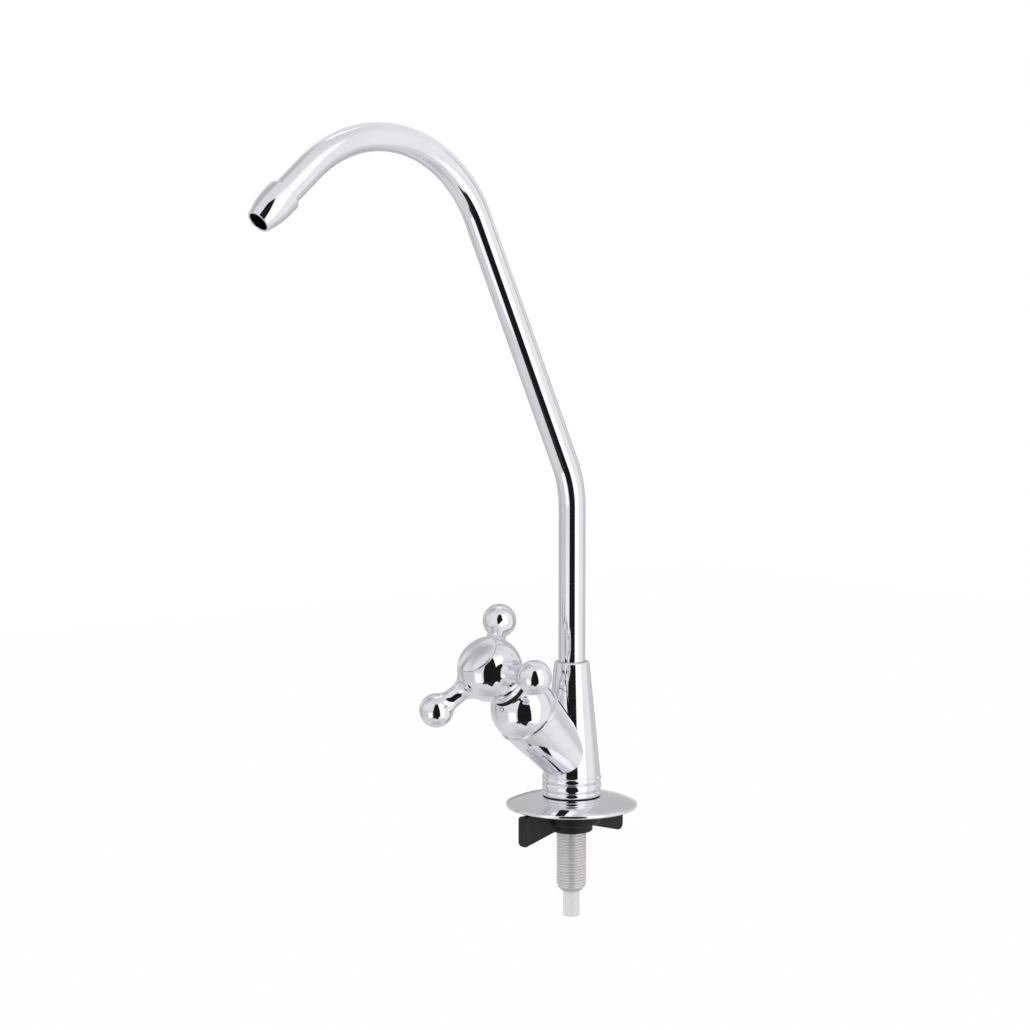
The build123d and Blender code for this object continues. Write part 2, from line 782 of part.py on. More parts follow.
# Nozzle: a barrel that tapers to the mouth and steps out from the tube
nozzle_direction = outlet_run % 1
nozzle_origin = outlet_run @ 1 - nozzle_direction * tube_depth_in_nozzle
nozzle_axis = Axis(nozzle_origin, nozzle_direction)
with BuildPart() as spout_nozzle:
    with BuildSketch(section_along(nozzle_origin, nozzle_direction)):
        with BuildLine():
            rear = Polyline(
                (nozzle_mouth_radius, nozzle_length),
                (nozzle_mouth_radius, tube_depth_in_nozzle + seat_gap),
                (tube_radius + seat_gap, tube_depth_in_nozzle + seat_gap),
                (tube_radius + seat_gap, 0),
                (nozzle_rear_radius, 0),
                (nozzle_rear_radius, nozzle_barrel_length),
            )
            taper = TangentArc(rear @ 1, (nozzle_tip_radius, nozzle_length), tangent=(0, 1))
            Line(taper @ 1, rear @ 0)
        make_face()
    revolve(axis=nozzle_axis)
    rear_edge = spout_nozzle.faces().sort_by(nozzle_axis)[0].edges().sort_by(SortBy.RADIUS)[-1]
    fillet(rear_edge, radius=nozzle_edge_fillet)
    lip_edges = spout_nozzle.faces().sort_by(nozzle_axis)[-1].edges()
    fillet(lip_edges, radius=nozzle_lip_fillet)
spout_nozzle.part.label = "spout_nozzle"
export_step(spout_nozzle.part, "parts/spout_nozzle.step")

# Fixing washer that slides on the shank under the counter
washer_bottom = -washer_drop - washer_thickness
with BuildPart() as fixing_washer:
    with BuildSketch(Plane.XY.offset(washer_bottom)):
        Circle(washer_radius)
        Circle(shank_radius + washer_hole_gap, mode=Mode.SUBTRACT)
    extrude(amount=washer_thickness)
fixing_washer.part.label = "fixing_washer"
export_step(fixing_washer.part, "parts/fixing_washer.step")

# Wing nut: a flange, a collar and two thin wings with a rounded lower corner
nut_top = washer_bottom - running_gap
flange_bottom = nut_top - nut_flange_height
collar_bottom = flange_bottom - nut_collar_height
wing_top = nut_top - wing_step
wing_root = collar_bottom + wing_root_rise
nut_bore_radius = shank_radius + running_gap
with BuildPart() as wing_nut:
    with BuildSketch(Plane.XZ):
        with BuildLine():
            Polyline(
                (nut_bore_radius, nut_top),
                (nut_flange_radius, nut_top),
                (nut_flange_radius, flange_bottom),
                (nut_collar_radius, flange_bottom),
                (nut_collar_radius, collar_bottom),
                (nut_bore_radius, collar_bottom),
                close=True,
            )
        make_face()
    revolve(axis=Axis.Z)
    outer_edges = wing_nut.edges().filter_by(GeomType.CIRCLE).group_by(Axis.Z)
    fillet(outer_edges[0].sort_by(SortBy.RADIUS)[-1], radius=nut_edge_fillet)
    fillet(outer_edges[1].sort_by(SortBy.RADIUS)[-1], radius=nut_edge_fillet)
    with BuildSketch(side_plane) as wing:
        with BuildLine():
            Polyline(
                (nut_collar_radius - wing_thickness, wing_root),
                (nut_collar_radius, wing_root),
                (wing_reach, wing_root - wing_drop),
                (wing_reach, wing_top),
                (nut_collar_radius - wing_thickness, wing_top),
                close=True,
            )
        make_face()
        fillet(wing.vertices().sort_by(Axis.Y)[0], radius=wing_corner_radius)
        fillet(wing.vertices().group_by(Axis.Y)[-1].sort_by(Axis.X)[-1], radius=wing_shoulder_radius)
        mirror(about=Plane.YZ)
    extrude(amount=wing_thickness / 2, both=True)
wing_nut.part.label = "wing_nut"
export_step(wing_nut.part, "parts/wing_nut.step")
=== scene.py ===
# %% [markdown]
# # A drinking water tap, dressed for a studio photograph
#
# The solids of the tap arrive as a fixed frame. This lesson keeps their sizes and places,
# models every polished piece again with a fine, smooth mesh, and gives each piece its finish.
# Mirror chrome shows every flat facet, so the outer pieces are turned and bent here from
# many rings, while the pieces hidden inside keep their solids and only get a material.

# %% Load the frame
import json
from math import acos, asin, cos, degrees, radians, sin, sqrt

import bpy
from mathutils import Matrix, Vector


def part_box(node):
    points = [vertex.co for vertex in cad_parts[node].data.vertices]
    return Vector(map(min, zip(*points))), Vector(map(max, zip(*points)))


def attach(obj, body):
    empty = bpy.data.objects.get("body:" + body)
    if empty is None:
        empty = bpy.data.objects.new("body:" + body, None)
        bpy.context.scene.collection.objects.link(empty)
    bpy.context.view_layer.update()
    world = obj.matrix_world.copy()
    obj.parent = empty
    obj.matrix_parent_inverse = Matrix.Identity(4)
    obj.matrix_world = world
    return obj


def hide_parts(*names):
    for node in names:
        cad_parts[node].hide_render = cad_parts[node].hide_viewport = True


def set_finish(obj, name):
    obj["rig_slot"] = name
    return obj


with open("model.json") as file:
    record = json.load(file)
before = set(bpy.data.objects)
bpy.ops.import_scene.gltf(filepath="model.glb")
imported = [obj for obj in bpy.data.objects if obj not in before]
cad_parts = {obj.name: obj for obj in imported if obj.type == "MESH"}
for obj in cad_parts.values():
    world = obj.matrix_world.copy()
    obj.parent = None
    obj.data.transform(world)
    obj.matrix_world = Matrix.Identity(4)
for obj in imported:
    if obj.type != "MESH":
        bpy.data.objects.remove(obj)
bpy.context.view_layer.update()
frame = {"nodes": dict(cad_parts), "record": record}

mm = 0.001

# %% [markdown]
# ## The camera
#
# The plate's round edge, the upright body and the valve's branch, which leans at 45 degrees,
# show where the photographer stood: in front on the right, almost a metre away, and slightly
# above the middle of the tap. A long lens keeps the perspective flat. The camera is set first,
# so that every later step can be judged from the same place.

# %% Camera
camera_turn = radians(48.0)
camera_distance = 0.97249
camera_height = 0.206884
looks_down = 5.7199
looks_round = 49.2469

camera_data = bpy.data.cameras.new("photo_camera")
camera_data.lens = 92.22
camera_data.sensor_width = 36.0
camera_data.clip_start = 0.01
camera = bpy.data.objects.new("photo_camera", camera_data)
bpy.context.scene.collection.objects.link(camera)
camera.location = (
    sin(camera_turn) * camera_distance,
    -cos(camera_turn) * camera_distance,
    camera_height,
)
camera.rotation_euler = (radians(90 - looks_down), 0, radians(looks_round))
bpy.context.scene.camera = camera
print("camera at", [round(value, 3) for value in camera.location])

# %% [markdown]
# ## Sizes
#
# These are the tap's own sizes in millimetres. The valve leans forward from the upright, so
# its pieces are turned about the upright's axis first and tilted into place at the end.

# %% Sizes
plate_radius = 24.5
plate_rim = 1.2
plate_top = 4.25
body_top = 54.9
valve_root = 16.0
branch_end = 29.5
bonnet_radius = 12.2
bonnet_centre = 33.5
bonnet_end = 43.5
handle_start = 45.2
hub_radius = 11.9
hub_centre = 56.5
cap_seat = 64.9
arm_radius = 3.5
arm_fillet = 5.5
arm_length = 24.6
ball_radius = 6.25
tube_radius = 5.0
tube_foot = 48.65
lean_start = 112.1
lean_bend = 41.0
lean_angle = 25
slant_length = 98.2
crook_bend = 47.5
crook_angle = 105.5
nozzle_seat = 13.8
shank_radius = 5.55
thread_root = 5.2
thread_pitch = 25.4 / 24
print("thread pitch in mm:", round(thread_pitch, 3))

# %% [markdown]
# ## Tools for turned pieces
#
# Most of the tap comes from a lathe. A turned piece can be made by spinning an outline, or by
# growing rings: a circle is extruded along the axis and scaled to the next radius, again and
# again. Rings are used here because each step is easy to check, and because the poles close
# simply by merging the tiny last ring. Round parts of an outline come from a short arc rule.


# %% Outlines of arcs and balls
def arc_points(centre, radius, start, end, steps):
    """Points of a round part of an outline, with its angles measured from the radius direction."""
    points = []
    for step in range(steps + 1):
        angle = radians(start + (end - start) * step / steps)
        points.append((centre[0] + radius * cos(angle), centre[1] + radius * sin(angle)))
    return points


def crown_radius(half_width, rise):
    """Radius of an arc, from half the width it spans and the height it gains."""
    return (half_width**2 + rise**2) / (2 * rise)


def ball_height(radius, across):
    """Height of a ball's surface above its centre, at a distance from the axis."""
    return sqrt(radius**2 - across**2)


print("a 10 mm ball at 6 mm from its axis is this high:", ball_height(10, 6))

# %% Select and settle
sharp_angle = radians(32)


def deselect_all():
    """Leave edit mode and select nothing, so that the next tool acts on its own piece only."""
    if bpy.context.object and bpy.context.object.mode != "OBJECT":
        bpy.ops.object.mode_set(mode="OBJECT")
    bpy.ops.object.select_all(action="DESELECT")


def pick(piece):
    """Select one piece alone and make it the active one."""
    deselect_all()
    piece.select_set(True)
    bpy.context.view_layer.objects.active = piece


def settle_mesh(piece):
    """Merge doubled points, turn the faces outwards, and shade smooth but for sharp edges."""
    if piece.mode != "EDIT":
        bpy.ops.object.mode_set(mode="EDIT")
    bpy.ops.mesh.select_all(action="SELECT")
    bpy.ops.mesh.remove_doubles(threshold=0.002 * mm)
    bpy.ops.mesh.normals_make_consistent(inside=False)
    bpy.ops.object.mode_set(mode="OBJECT")
    bpy.ops.object.shade_smooth_by_angle(angle=sharp_angle)


print("edges sharper than this stay sharp, in degrees:", round(degrees(sharp_angle)))


# %% Turn a piece from its outline
def turned_piece(name, outline, sides=128):
    """Grow a closed, turned shell from an outline of (radius, height) points in millimetres."""
    deselect_all()
    tiny = 0.0002
    radius, height = outline[0]
    radius = max(radius, tiny)
    bpy.ops.mesh.primitive_circle_add(
        vertices=sides, radius=radius * mm, location=(0, 0, height * mm)
    )
    piece = bpy.context.object
    piece.name = name
    piece.data.name = name
    bpy.ops.object.transform_apply(location=True, rotation=True, scale=True)
    bpy.ops.object.mode_set(mode="EDIT")
    bpy.ops.mesh.select_all(action="SELECT")
    for next_radius, next_height in outline[1:]:
        next_radius = max(next_radius, tiny)
        bpy.ops.mesh.extrude_edges_move(
            TRANSFORM_OT_translate={"value": (0, 0, (next_height - height) * mm)}
        )
        growth = next_radius / radius
        bpy.ops.transform.resize(
            value=(growth, growth, 1), center_override=(0, 0, next_height * mm)
        )
        radius, height = next_radius, next_height
    settle_mesh(piece)
    return piece


def soften_edges(piece, width, segments=3, angle=30):
    """Break the sharp edges with a small round bevel, as polishing does."""
    pick(piece)
    bevel = piece.modifiers.new("polished_edge", "BEVEL")
    bevel.width = width * mm
    bevel.segments = segments
    bevel.limit_method = "ANGLE"
    bevel.angle_limit = radians(angle)
    bevel.use_clamp_overlap = True
    bpy.ops.object.modifier_apply(modifier=bevel.name)
    bpy.ops.object.shade_smooth_by_angle(angle=sharp_angle)
    return piece


print("ready to turn pieces")


# %% Place, join and mount
def place_piece(piece, turn=(0, 0, 0), move=(0, 0, 0)):
    """Turn and move a finished piece, and keep its place in the mesh."""
    pick(piece)
    piece.rotation_euler = [radians(angle) for angle in turn]
    piece.location = [distance * mm for distance in move]
    bpy.ops.object.transform_apply(location=True, rotation=True, scale=True)
    return piece


def tilt_to_valve(piece):
    """Lean a piece that was turned about +Z forward onto the valve's axis."""
    return place_piece(piece, turn=(45, 0, 0), move=(0, 0, valve_root))


def join_pieces(name, parts):
    """Join separate shells into one object."""
    deselect_all()
    for part in parts:
        part.select_set(True)
    bpy.context.view_layer.objects.active = parts[0]
    bpy.ops.object.join()
    joined = bpy.context.object
    joined.name = name
    joined.data.name = name
    return joined


def copy_piece(piece):
    """Copy a piece with a mesh of its own."""
    copied = piece.copy()
    copied.data = piece.data.copy()
    bpy.context.scene.collection.objects.link(copied)
    return copied


def mount_piece(piece, body, node, slot):
    """Hang the piece on its body, give it its finish's slot, and hide the solid it stands for."""
    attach(piece, body)
    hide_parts(node)
    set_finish(piece, slot)
    low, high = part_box(node)
    points = [vertex.co for vertex in piece.data.vertices]
    gaps = []
    for axis in range(3):
        gaps.append(round((min(point[axis] for point in points) - low[axis]) / mm, 2))
        gaps.append(round((high[axis] - max(point[axis] for point in points)) / mm, 2))
    print(piece.name, "faces:", len(piece.data.polygons), "inside its solid's box by mm:", gaps)


print("ready to mount pieces")

# %% [markdown]
# ## Base plate
#
# The cover plate is pressed from thin sheet: a flat middle, a low dome that falls away to the
# rim, and a hollow underneath that holds the rubber gasket. One outline runs over the top,
# round the rim and back along the hollow, so the shell has its real wall. The press rolls the
# rim's lower edge under, and that small round draws the dark line round the plate.

# %% Base plate
flat_radius = 11.4
plate_bore = 5.85
hollow_top = 3.25
hollow_edge = 0.7
rim_wall = 1.0
rim_roll = 0.6

dome_run = plate_radius - flat_radius
dome_radius = crown_radius(dome_run, plate_top - plate_rim)
dome_end = 90 - degrees(asin(dome_run / dome_radius))
dome = arc_points((flat_radius, plate_top - dome_radius), dome_radius, 90, dome_end, 28)
hollow_run = plate_radius - rim_wall - flat_radius
hollow_radius = crown_radius(hollow_run, hollow_top - hollow_edge)
hollow_end = 90 - degrees(asin(hollow_run / hollow_radius))
hollow = arc_points((flat_radius, hollow_top - hollow_radius), hollow_radius, hollow_end, 90, 12)
plate_outline = [(plate_bore, plate_top), (flat_radius - 0.4, plate_top)] + dome
plate_outline += [(plate_radius, rim_roll + 0.05)]
plate_outline += arc_points((plate_radius - rim_roll, rim_roll), rim_roll, 0, -90, 6)
plate_outline += [(plate_radius - rim_wall, 0.0)] + hollow
plate_outline += [(plate_bore, hollow_top), (plate_bore, plate_top)]
plate = soften_edges(turned_piece("cover_plate", plate_outline, sides=192), 0.14)
mount_piece(plate, "root", "base_plate", "chrome")

# %% [markdown]
# ## Body
#
# The body is one casting with two cones: the upright, with a stack of turned rings at its
# foot, and the branch that leans forward for the valve. The cones meet in a sharp seam. A
# boolean could join them, but it leaves long thin faces at the seam, and those bend the
# reflections. Two closed shells that pass through each other show the same clean seam. The
# dark line under the lowest ring is painted shade: a thin black ring fills the gap there.
# Only the valve's chamber is cut out of the upright, so that the turning disc has its room.
# That cut stays hidden inside the branch, because the upright's cone has many short rows.

# %% Upright of the body
foot_rings = [(4.62, 6.45), (6.8, 9.5), (9.9, 11.85)]
ring_crest = 11.15
ring_crown = 0.28
groove_radius = 10.4
cone_foot = (10.84, 12.15)
cone_head = (6.6, 54.4)
cone_rows = 40
cone_share = 0.98
socket_radius = 5.57
bush_radius = 5.77
stem_radius = 4.95

upright_outline = [(0, 13.2), (socket_radius, 13.2), (socket_radius, plate_top)]
upright_outline += [(10.2, plate_top), (10.2, foot_rings[0][0])]
for low, high in foot_rings:
    half = (high - low) / 2
    radius = crown_radius(half, ring_crown)
    spread = degrees(asin(half / radius))
    centre = (ring_crest - radius, (low + high) / 2)
    upright_outline += arc_points(centre, radius, -spread, spread, 8)
    upright_outline.append((groove_radius, high + 0.17))
upright_outline[-1] = (10.72, 12.0)
for row in range(cone_rows + 1):
    share = cone_share * row / cone_rows
    radius = cone_foot[0] + (cone_head[0] - cone_foot[0]) * share
    height = cone_foot[1] + (cone_head[1] - cone_foot[1]) * share
    upright_outline.append((radius, height))
upright_outline += [cone_head, (6.1, body_top), (bush_radius, body_top), (bush_radius, 46.7)]
upright_outline += [(stem_radius, 46.7), (stem_radius, 28.9), (0, 28.9)]
upright = soften_edges(turned_piece("upright", upright_outline, sides=160), 0.1, segments=2)
print("upright faces:", len(upright.data.polygons))

# %% Branch of the body
chamber_radius = 8.4
chamber_floor = 12.0
branch_outline = [(0, 0), (9.0, 0), (9.8, 7.3), (10.6, 14.6), (11.4, 21.9), (12.2, 29.25)]
branch_outline += [(11.95, branch_end), (chamber_radius, branch_end)]
branch_outline += [(chamber_radius, chamber_floor), (0, chamber_floor)]
branch = tilt_to_valve(turned_piece("branch", branch_outline, sides=160))
print("branch faces:", len(branch.data.polygons))

# %% Cut the valve's chamber and join the body
chamber_reach = 26.0
chamber_outline = [(0, chamber_floor), (chamber_radius, chamber_floor)]
chamber_outline += [(chamber_radius, chamber_reach), (0, chamber_reach)]
chamber = tilt_to_valve(turned_piece("chamber_cutter", chamber_outline, sides=96))
pick(upright)
chamber_cut = upright.modifiers.new("chamber_cut", "BOOLEAN")
chamber_cut.operation = "DIFFERENCE"
chamber_cut.solver = "EXACT"
chamber_cut.object = chamber
bpy.ops.object.modifier_apply(modifier=chamber_cut.name)
bpy.data.objects.remove(chamber)
bpy.ops.object.shade_smooth_by_angle(angle=sharp_angle)
body = join_pieces("riser_body", [upright, branch])
mount_piece(body, "root", "body_casting", "chrome")

# %% Black ring under the foot: painted shade
shade_ring_low, shade_ring_high = 4.27, 4.59
shade_ring_outline = [(9.6, shade_ring_low), (10.45, shade_ring_low), (10.6, 4.43), (10.45, shade_ring_high)]
shade_ring_outline += [(9.6, shade_ring_high), (9.6, shade_ring_low)]
foot_shade_ring = turned_piece("foot_shade_ring", shade_ring_outline)
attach(foot_shade_ring, "root")
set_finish(foot_shade_ring, "black_rubber")
print("seal faces:", len(foot_shade_ring.data.polygons))

# %% [markdown]
# ## Bonnet
#
# The bonnet is a hollow, ball-shaped nut that hides the cartridge. Its lip sits on the
# branch's face with a fine step, which reads as a dark line between two polished pieces.

# %% Bonnet
lip_radius = 12.45
lip_height = 30.3
spindle_bore = 6.02
cavity_radius = 10.75
cavity_end = 39.5

lip_angle = -degrees(asin((bonnet_centre - lip_height) / bonnet_radius))
end_angle = degrees(asin((bonnet_end - bonnet_centre) / bonnet_radius))
cavity_across = ball_height(cavity_radius, cavity_end - bonnet_centre)
cavity_angle = degrees(acos(cavity_across / cavity_radius))
bonnet_outline = [(cavity_radius, branch_end), (lip_radius, branch_end), (lip_radius, lip_height)]
bonnet_outline += arc_points((0, bonnet_centre), bonnet_radius, lip_angle, end_angle, 40)
bonnet_outline += [(spindle_bore, bonnet_end), (spindle_bore, cavity_end)]
bonnet_outline += arc_points((0, bonnet_centre), cavity_radius, cavity_angle, 0, 12)
bonnet_outline += [(cavity_radius, branch_end)]
bonnet = tilt_to_valve(soften_edges(turned_piece("bonnet_nut", bonnet_outline), 0.15))
mount_piece(bonnet, "root", "bonnet", "chrome")

# %% [markdown]
# ## Handle
#
# The handle is the piece that the eye goes to: a ball-shaped hub on a short skirt, and three
# arms that flare out of the hub and swell into balls. Hub and arms are each round about their
# own axis, so each is a lathe job. The arm's outline holds both hollow fillets, and where it
# touches the hub the two surfaces run into each other with no edge. One arm is modelled, then
# copied with its own mesh and turned by a third of a turn each time.

# %% Hub of the handle
skirt_radius = 7.0
hub_bore = 5.6
hub_bore_top = -9.6
screw_well = 4.0
screw_well_floor = -1.05

skirt_end = handle_start - hub_centre
start_angle = degrees(asin(-ball_height(hub_radius, skirt_radius) / hub_radius))
seat_rise = cap_seat - hub_centre
seat_angle = degrees(asin(seat_rise / hub_radius))
hub_outline = [(0, hub_bore_top), (hub_bore, hub_bore_top), (hub_bore, skirt_end)]
hub_outline += [(skirt_radius, skirt_end)]
hub_outline += arc_points((0, 0), hub_radius, start_angle, seat_angle, 64)
hub_outline += [(screw_well, seat_rise), (screw_well, screw_well_floor), (0, screw_well_floor)]
hub = soften_edges(turned_piece("hub", hub_outline, sides=160), 0.12, segments=2)
print("hub faces:", len(hub.data.polygons))

# %% One arm of the handle, turned about its own axis
fillet_out = arm_radius + arm_fillet
flare_reach = ball_height(hub_radius + arm_fillet, fillet_out)
flare_angle = degrees(asin(fillet_out / (hub_radius + arm_fillet)))
neck_reach = ball_height(ball_radius + arm_fillet, fillet_out)
neck_angle = degrees(asin(fillet_out / (ball_radius + arm_fillet)))
arm_outline = [(0, 4.4), (3.2, 4.6), (4.9, 8.2)]
arm_outline += arc_points((fillet_out, flare_reach), arm_fillet, -90 - flare_angle, -180, 18)
neck_centre = (fillet_out, arm_length - neck_reach)
arm_outline += arc_points(neck_centre, arm_fillet, 180, 90 + neck_angle, 14)
arm_outline += arc_points((0, arm_length), ball_radius, -neck_angle, 90, 40)
arm = place_piece(turned_piece("arm", arm_outline, sides=96), turn=(0, 90, 0))
print("arm reaches mm:", round(max(vertex.co.x for vertex in arm.data.vertices) / mm, 2))

# %% Copy the arm and join the handle
arms = [arm]
for count in (1, 2):
    arms.append(place_piece(copy_piece(arm), turn=(0, 0, 120 * count)))
handle = join_pieces("cross_handle", [hub] + arms)
handle = tilt_to_valve(place_piece(handle, move=(0, 0, hub_centre)))
mount_piece(handle, "handle", "handle", "chrome")

# %% [markdown]
# ## Black ring under the handle, as painted shade
#
# Between the bonnet and the handle's skirt the photograph shows a black band. It is painted
# shade: a black ring round the spindle fills the gap there. Its outline is a plain bulge.

# %% Black ring under the handle: painted shade
handle_ring_bore = 4.9
handle_ring_shoulder = 6.0
handle_ring_outline = [(handle_ring_bore, 43.7), (handle_ring_shoulder, 43.62)]
handle_ring_outline += arc_points((5.75, 44.36), 0.72, -65, 65, 10)
handle_ring_outline += [(handle_ring_shoulder, 45.1), (handle_ring_bore, 45.02), (handle_ring_bore, 43.7)]
handle_shade_ring = tilt_to_valve(turned_piece("handle_shade_ring", handle_ring_outline, sides=96))
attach(handle_shade_ring, "handle")
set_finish(handle_shade_ring, "black_rubber")
print("dust ring faces:", len(handle_shade_ring.data.polygons))

# %% [markdown]
# ## Cap of the handle
#
# A low domed cap covers the screw. It stays a separate piece with its own rounded edge, so
# a fine line shows all round it, as on the real handle. Its spigot goes into the recess.

# %% Handle cap
cap_radius = 8.0
cap_rise = 1.8
spigot_radius = 3.98
spigot_end = cap_seat - 3.0
cap_under = cap_seat + 0.02
cap_edge = cap_seat + 0.4

cap_dome = crown_radius(cap_radius, cap_rise)
cap_turn = 90 - degrees(asin(cap_radius / cap_dome))
cap_outline = [(0, spigot_end), (spigot_radius, spigot_end), (spigot_radius, cap_under)]
cap_outline += [(cap_radius - 0.15, cap_under), (cap_radius, cap_seat + 0.15)]
cap_outline += [(cap_radius, cap_edge - 0.1)]
cap_outline += arc_points((0, cap_edge + cap_rise - cap_dome), cap_dome, cap_turn, 90, 24)
cap = tilt_to_valve(soften_edges(turned_piece("screw_cap", cap_outline), 0.12))
mount_piece(cap, "handle", "handle_cap", "chrome")

# %% [markdown]
# ## Spout
#
# The spout is one drawn tube, bent twice on a mandrel: a gentle lean forward above the body
# and one large crook at the top. A curve with a bevel would do, but spinning a ring about the
# centre of each bend gives exact bends, as the bending machine does. Short rings before and
# after each bend keep the straight runs straight in the reflections.

# %% Tools for bending the spout
end_run = 1.0


def grow_run(direction, length):
    """Extrude the selected ring straight on, with short end runs."""
    for part in (end_run, length - 2 * end_run, end_run):
        bpy.ops.mesh.extrude_edges_move(
            TRANSFORM_OT_translate={"value": [value * part * mm for value in direction]}
        )


def bend_run(centre, angle, steps):
    """Spin the selected ring about a sideways axis, bending the tube forward."""
    bpy.ops.mesh.spin(
        steps=steps,
        angle=radians(angle),
        center=[value * mm for value in centre],
        axis=(-1, 0, 0),
        use_auto_merge=False,
    )


print("end runs in mm:", end_run)

# %% Spout tube
into_nozzle = 5.0
lean = radians(lean_angle)
slant = (0, -sin(lean), cos(lean))
bend_end = (0, -lean_bend * (1 - cos(lean)), lean_start + lean_bend * sin(lean))
slant_end = [bend_end[axis] + slant[axis] * slant_length for axis in range(3)]
crook = (0, slant_end[1] - crook_bend * cos(lean), slant_end[2] - crook_bend * sin(lean))
whole_turn = radians(lean_angle + crook_angle)
outlet = (0, -sin(whole_turn), cos(whole_turn))
crook_end = (
    0,
    crook[1] + crook_bend * cos(whole_turn),
    crook[2] + crook_bend * sin(whole_turn),
)
print("crook centre:", [round(value, 3) for value in crook])

deselect_all()
bpy.ops.mesh.primitive_circle_add(
    vertices=96, radius=tube_radius * mm, location=(0, 0, tube_foot * mm)
)
tube = bpy.context.object
tube.name = "spout_pipe"
bpy.ops.object.transform_apply(location=True)
bpy.ops.object.mode_set(mode="EDIT")
bpy.ops.mesh.select_all(action="SELECT")
grow_run((0, 0, 1), lean_start - tube_foot)
bend_run((0, -lean_bend, lean_start), lean_angle, 24)
grow_run(slant, slant_length)
bend_run(crook, crook_angle, 96)
grow_run(outlet, nozzle_seat + into_nozzle)
bpy.ops.object.mode_set(mode="OBJECT")

# %% Wall of the tube
settle_mesh(tube)
wall = tube.modifiers.new("tube_wall", "SOLIDIFY")
wall.thickness = 1.0 * mm
wall.offset = -1
bpy.ops.object.modifier_apply(modifier=wall.name)
bpy.ops.object.shade_smooth_by_angle(angle=sharp_angle)
mount_piece(tube, "spout", "spout_tube", "chrome")

# %% [markdown]
# ## Nozzle
#
# The nozzle is a turned bullet: a short barrel that steps out from the tube, then a long
# round taper to the mouth. Its edges are rounded, and its bore goes all the way to the tube.

# %% Nozzle
nozzle_length = 14.1
nozzle_bore = 3.6
tube_socket = 5.02
barrel_radius = 6.2
barrel_length = 3.0
barrel_round = 0.4
mouth_radius = 4.3
mouth_round = 0.25
mouth_start = nozzle_length - mouth_round

taper_run = nozzle_length - barrel_length
taper = crown_radius(taper_run, barrel_radius - mouth_radius)
taper_turn = degrees(asin(taper_run / taper))
nozzle_outline = [(nozzle_bore, mouth_start), (nozzle_bore, tube_socket)]
nozzle_outline += [(tube_socket, tube_socket), (tube_socket, 0), (barrel_radius - barrel_round, 0)]
barrel_corner = (barrel_radius - barrel_round, barrel_round)
nozzle_outline += arc_points(barrel_corner, barrel_round, -60, 0, 4) + [(barrel_radius, 1.5)]
taper_centre = (barrel_radius - taper, barrel_length)
nozzle_outline += arc_points(taper_centre, taper, 0, taper_turn * 0.985, 28)
nozzle_outline += arc_points((4.06, mouth_start), mouth_round, 15, 90, 5)
nozzle_outline += arc_points((nozzle_bore + mouth_round, mouth_start), mouth_round, 90, 180, 5)
nozzle = turned_piece("outlet_nozzle", nozzle_outline)
nozzle_start = [crook_end[axis] + outlet[axis] * nozzle_seat for axis in range(3)]
nozzle = place_piece(nozzle, turn=(lean_angle + crook_angle, 0, 0), move=nozzle_start)
mount_piece(nozzle, "spout", "spout_nozzle", "chrome")

# %% [markdown]
# ## Threaded shank
#
# The shank is a steel tube with a fine 24 per inch thread. The thread is a ridge that climbs
# one pitch per turn: a small chain of points is swept by the Screw modifier, right-handed.
# The thread is rolled, so its crests are broad and flat and its grooves are narrow.
# The chamfers at the shank's two ends cut the crests down, so there the ridge's points are
# drawn in to the chamfer's cone until the thread sinks into the core.

# %% Core of the shank
shank_top = 12.35
shank_end = -31.7
plain_radius = 5.5
wide_bore = 4.2
narrow_bore = 3.52
collar_seat = -20.0

shank_outline = [(wide_bore, shank_top), (plain_radius, shank_top), (plain_radius, 2.0)]
shank_outline += [(thread_root, 1.6), (thread_root, -10.0), (thread_root, -20.0)]
shank_outline += [(thread_root, -30.3), (4.05, -31.62), (3.85, shank_end)]
shank_outline += [(narrow_bore, shank_end), (narrow_bore, collar_seat)]
shank_outline += [(wide_bore, collar_seat), (wide_bore, shank_top)]
shank = turned_piece("shank_core", shank_outline, sides=96)
print("core of the shank, faces:", len(shank.data.polygons))

# %% Ridge of the thread
ridge_depth = 0.2
ridge_start = -30.45
thread_turns = 30
steps_per_turn = 48
ridge_steps = [(0.2, 0.04), (0.34, 0.2), (0.0, 0.5), (-0.34, 0.2), (-0.2, 0.04)]

deselect_all()
ridge_place = ((thread_root - ridge_depth) * mm, 0, ridge_start * mm)
bpy.ops.mesh.primitive_plane_add(size=0.1 * mm, location=ridge_place)
ridge = bpy.context.object
ridge.name = "thread_ridge"
bpy.ops.object.transform_apply(location=True)
bpy.ops.object.mode_set(mode="EDIT")
bpy.ops.mesh.select_all(action="SELECT")
bpy.ops.mesh.merge(type="CENTER")
for across, along in ridge_steps:
    bpy.ops.mesh.extrude_vertices_move(
        TRANSFORM_OT_translate={"value": (across * mm, 0, along * mm)}
    )
bpy.ops.mesh.select_all(action="SELECT")
bpy.ops.mesh.edge_face_add()
bpy.ops.object.mode_set(mode="OBJECT")
screw = ridge.modifiers.new("thread", "SCREW")
screw.axis = "Z"
screw.steps = steps_per_turn
screw.render_steps = steps_per_turn
screw.screw_offset = thread_pitch * mm
screw.iterations = thread_turns
screw.use_merge_vertices = False
bpy.ops.object.modifier_apply(modifier=screw.name)
bpy.ops.object.mode_set(mode="EDIT")
bpy.ops.mesh.select_all(action="SELECT")
bpy.ops.mesh.fill_holes(sides=0)
settle_mesh(ridge)
print("ridge from mm:", round(min(vertex.co.z for vertex in ridge.data.vertices) / mm, 2))

# %% Chamfer the ends of the ridge
crest_floor = 5.02
upper_chamfer = 1.25
lower_chamfer = -29.6
lower_slope = 1.55 / 2.1


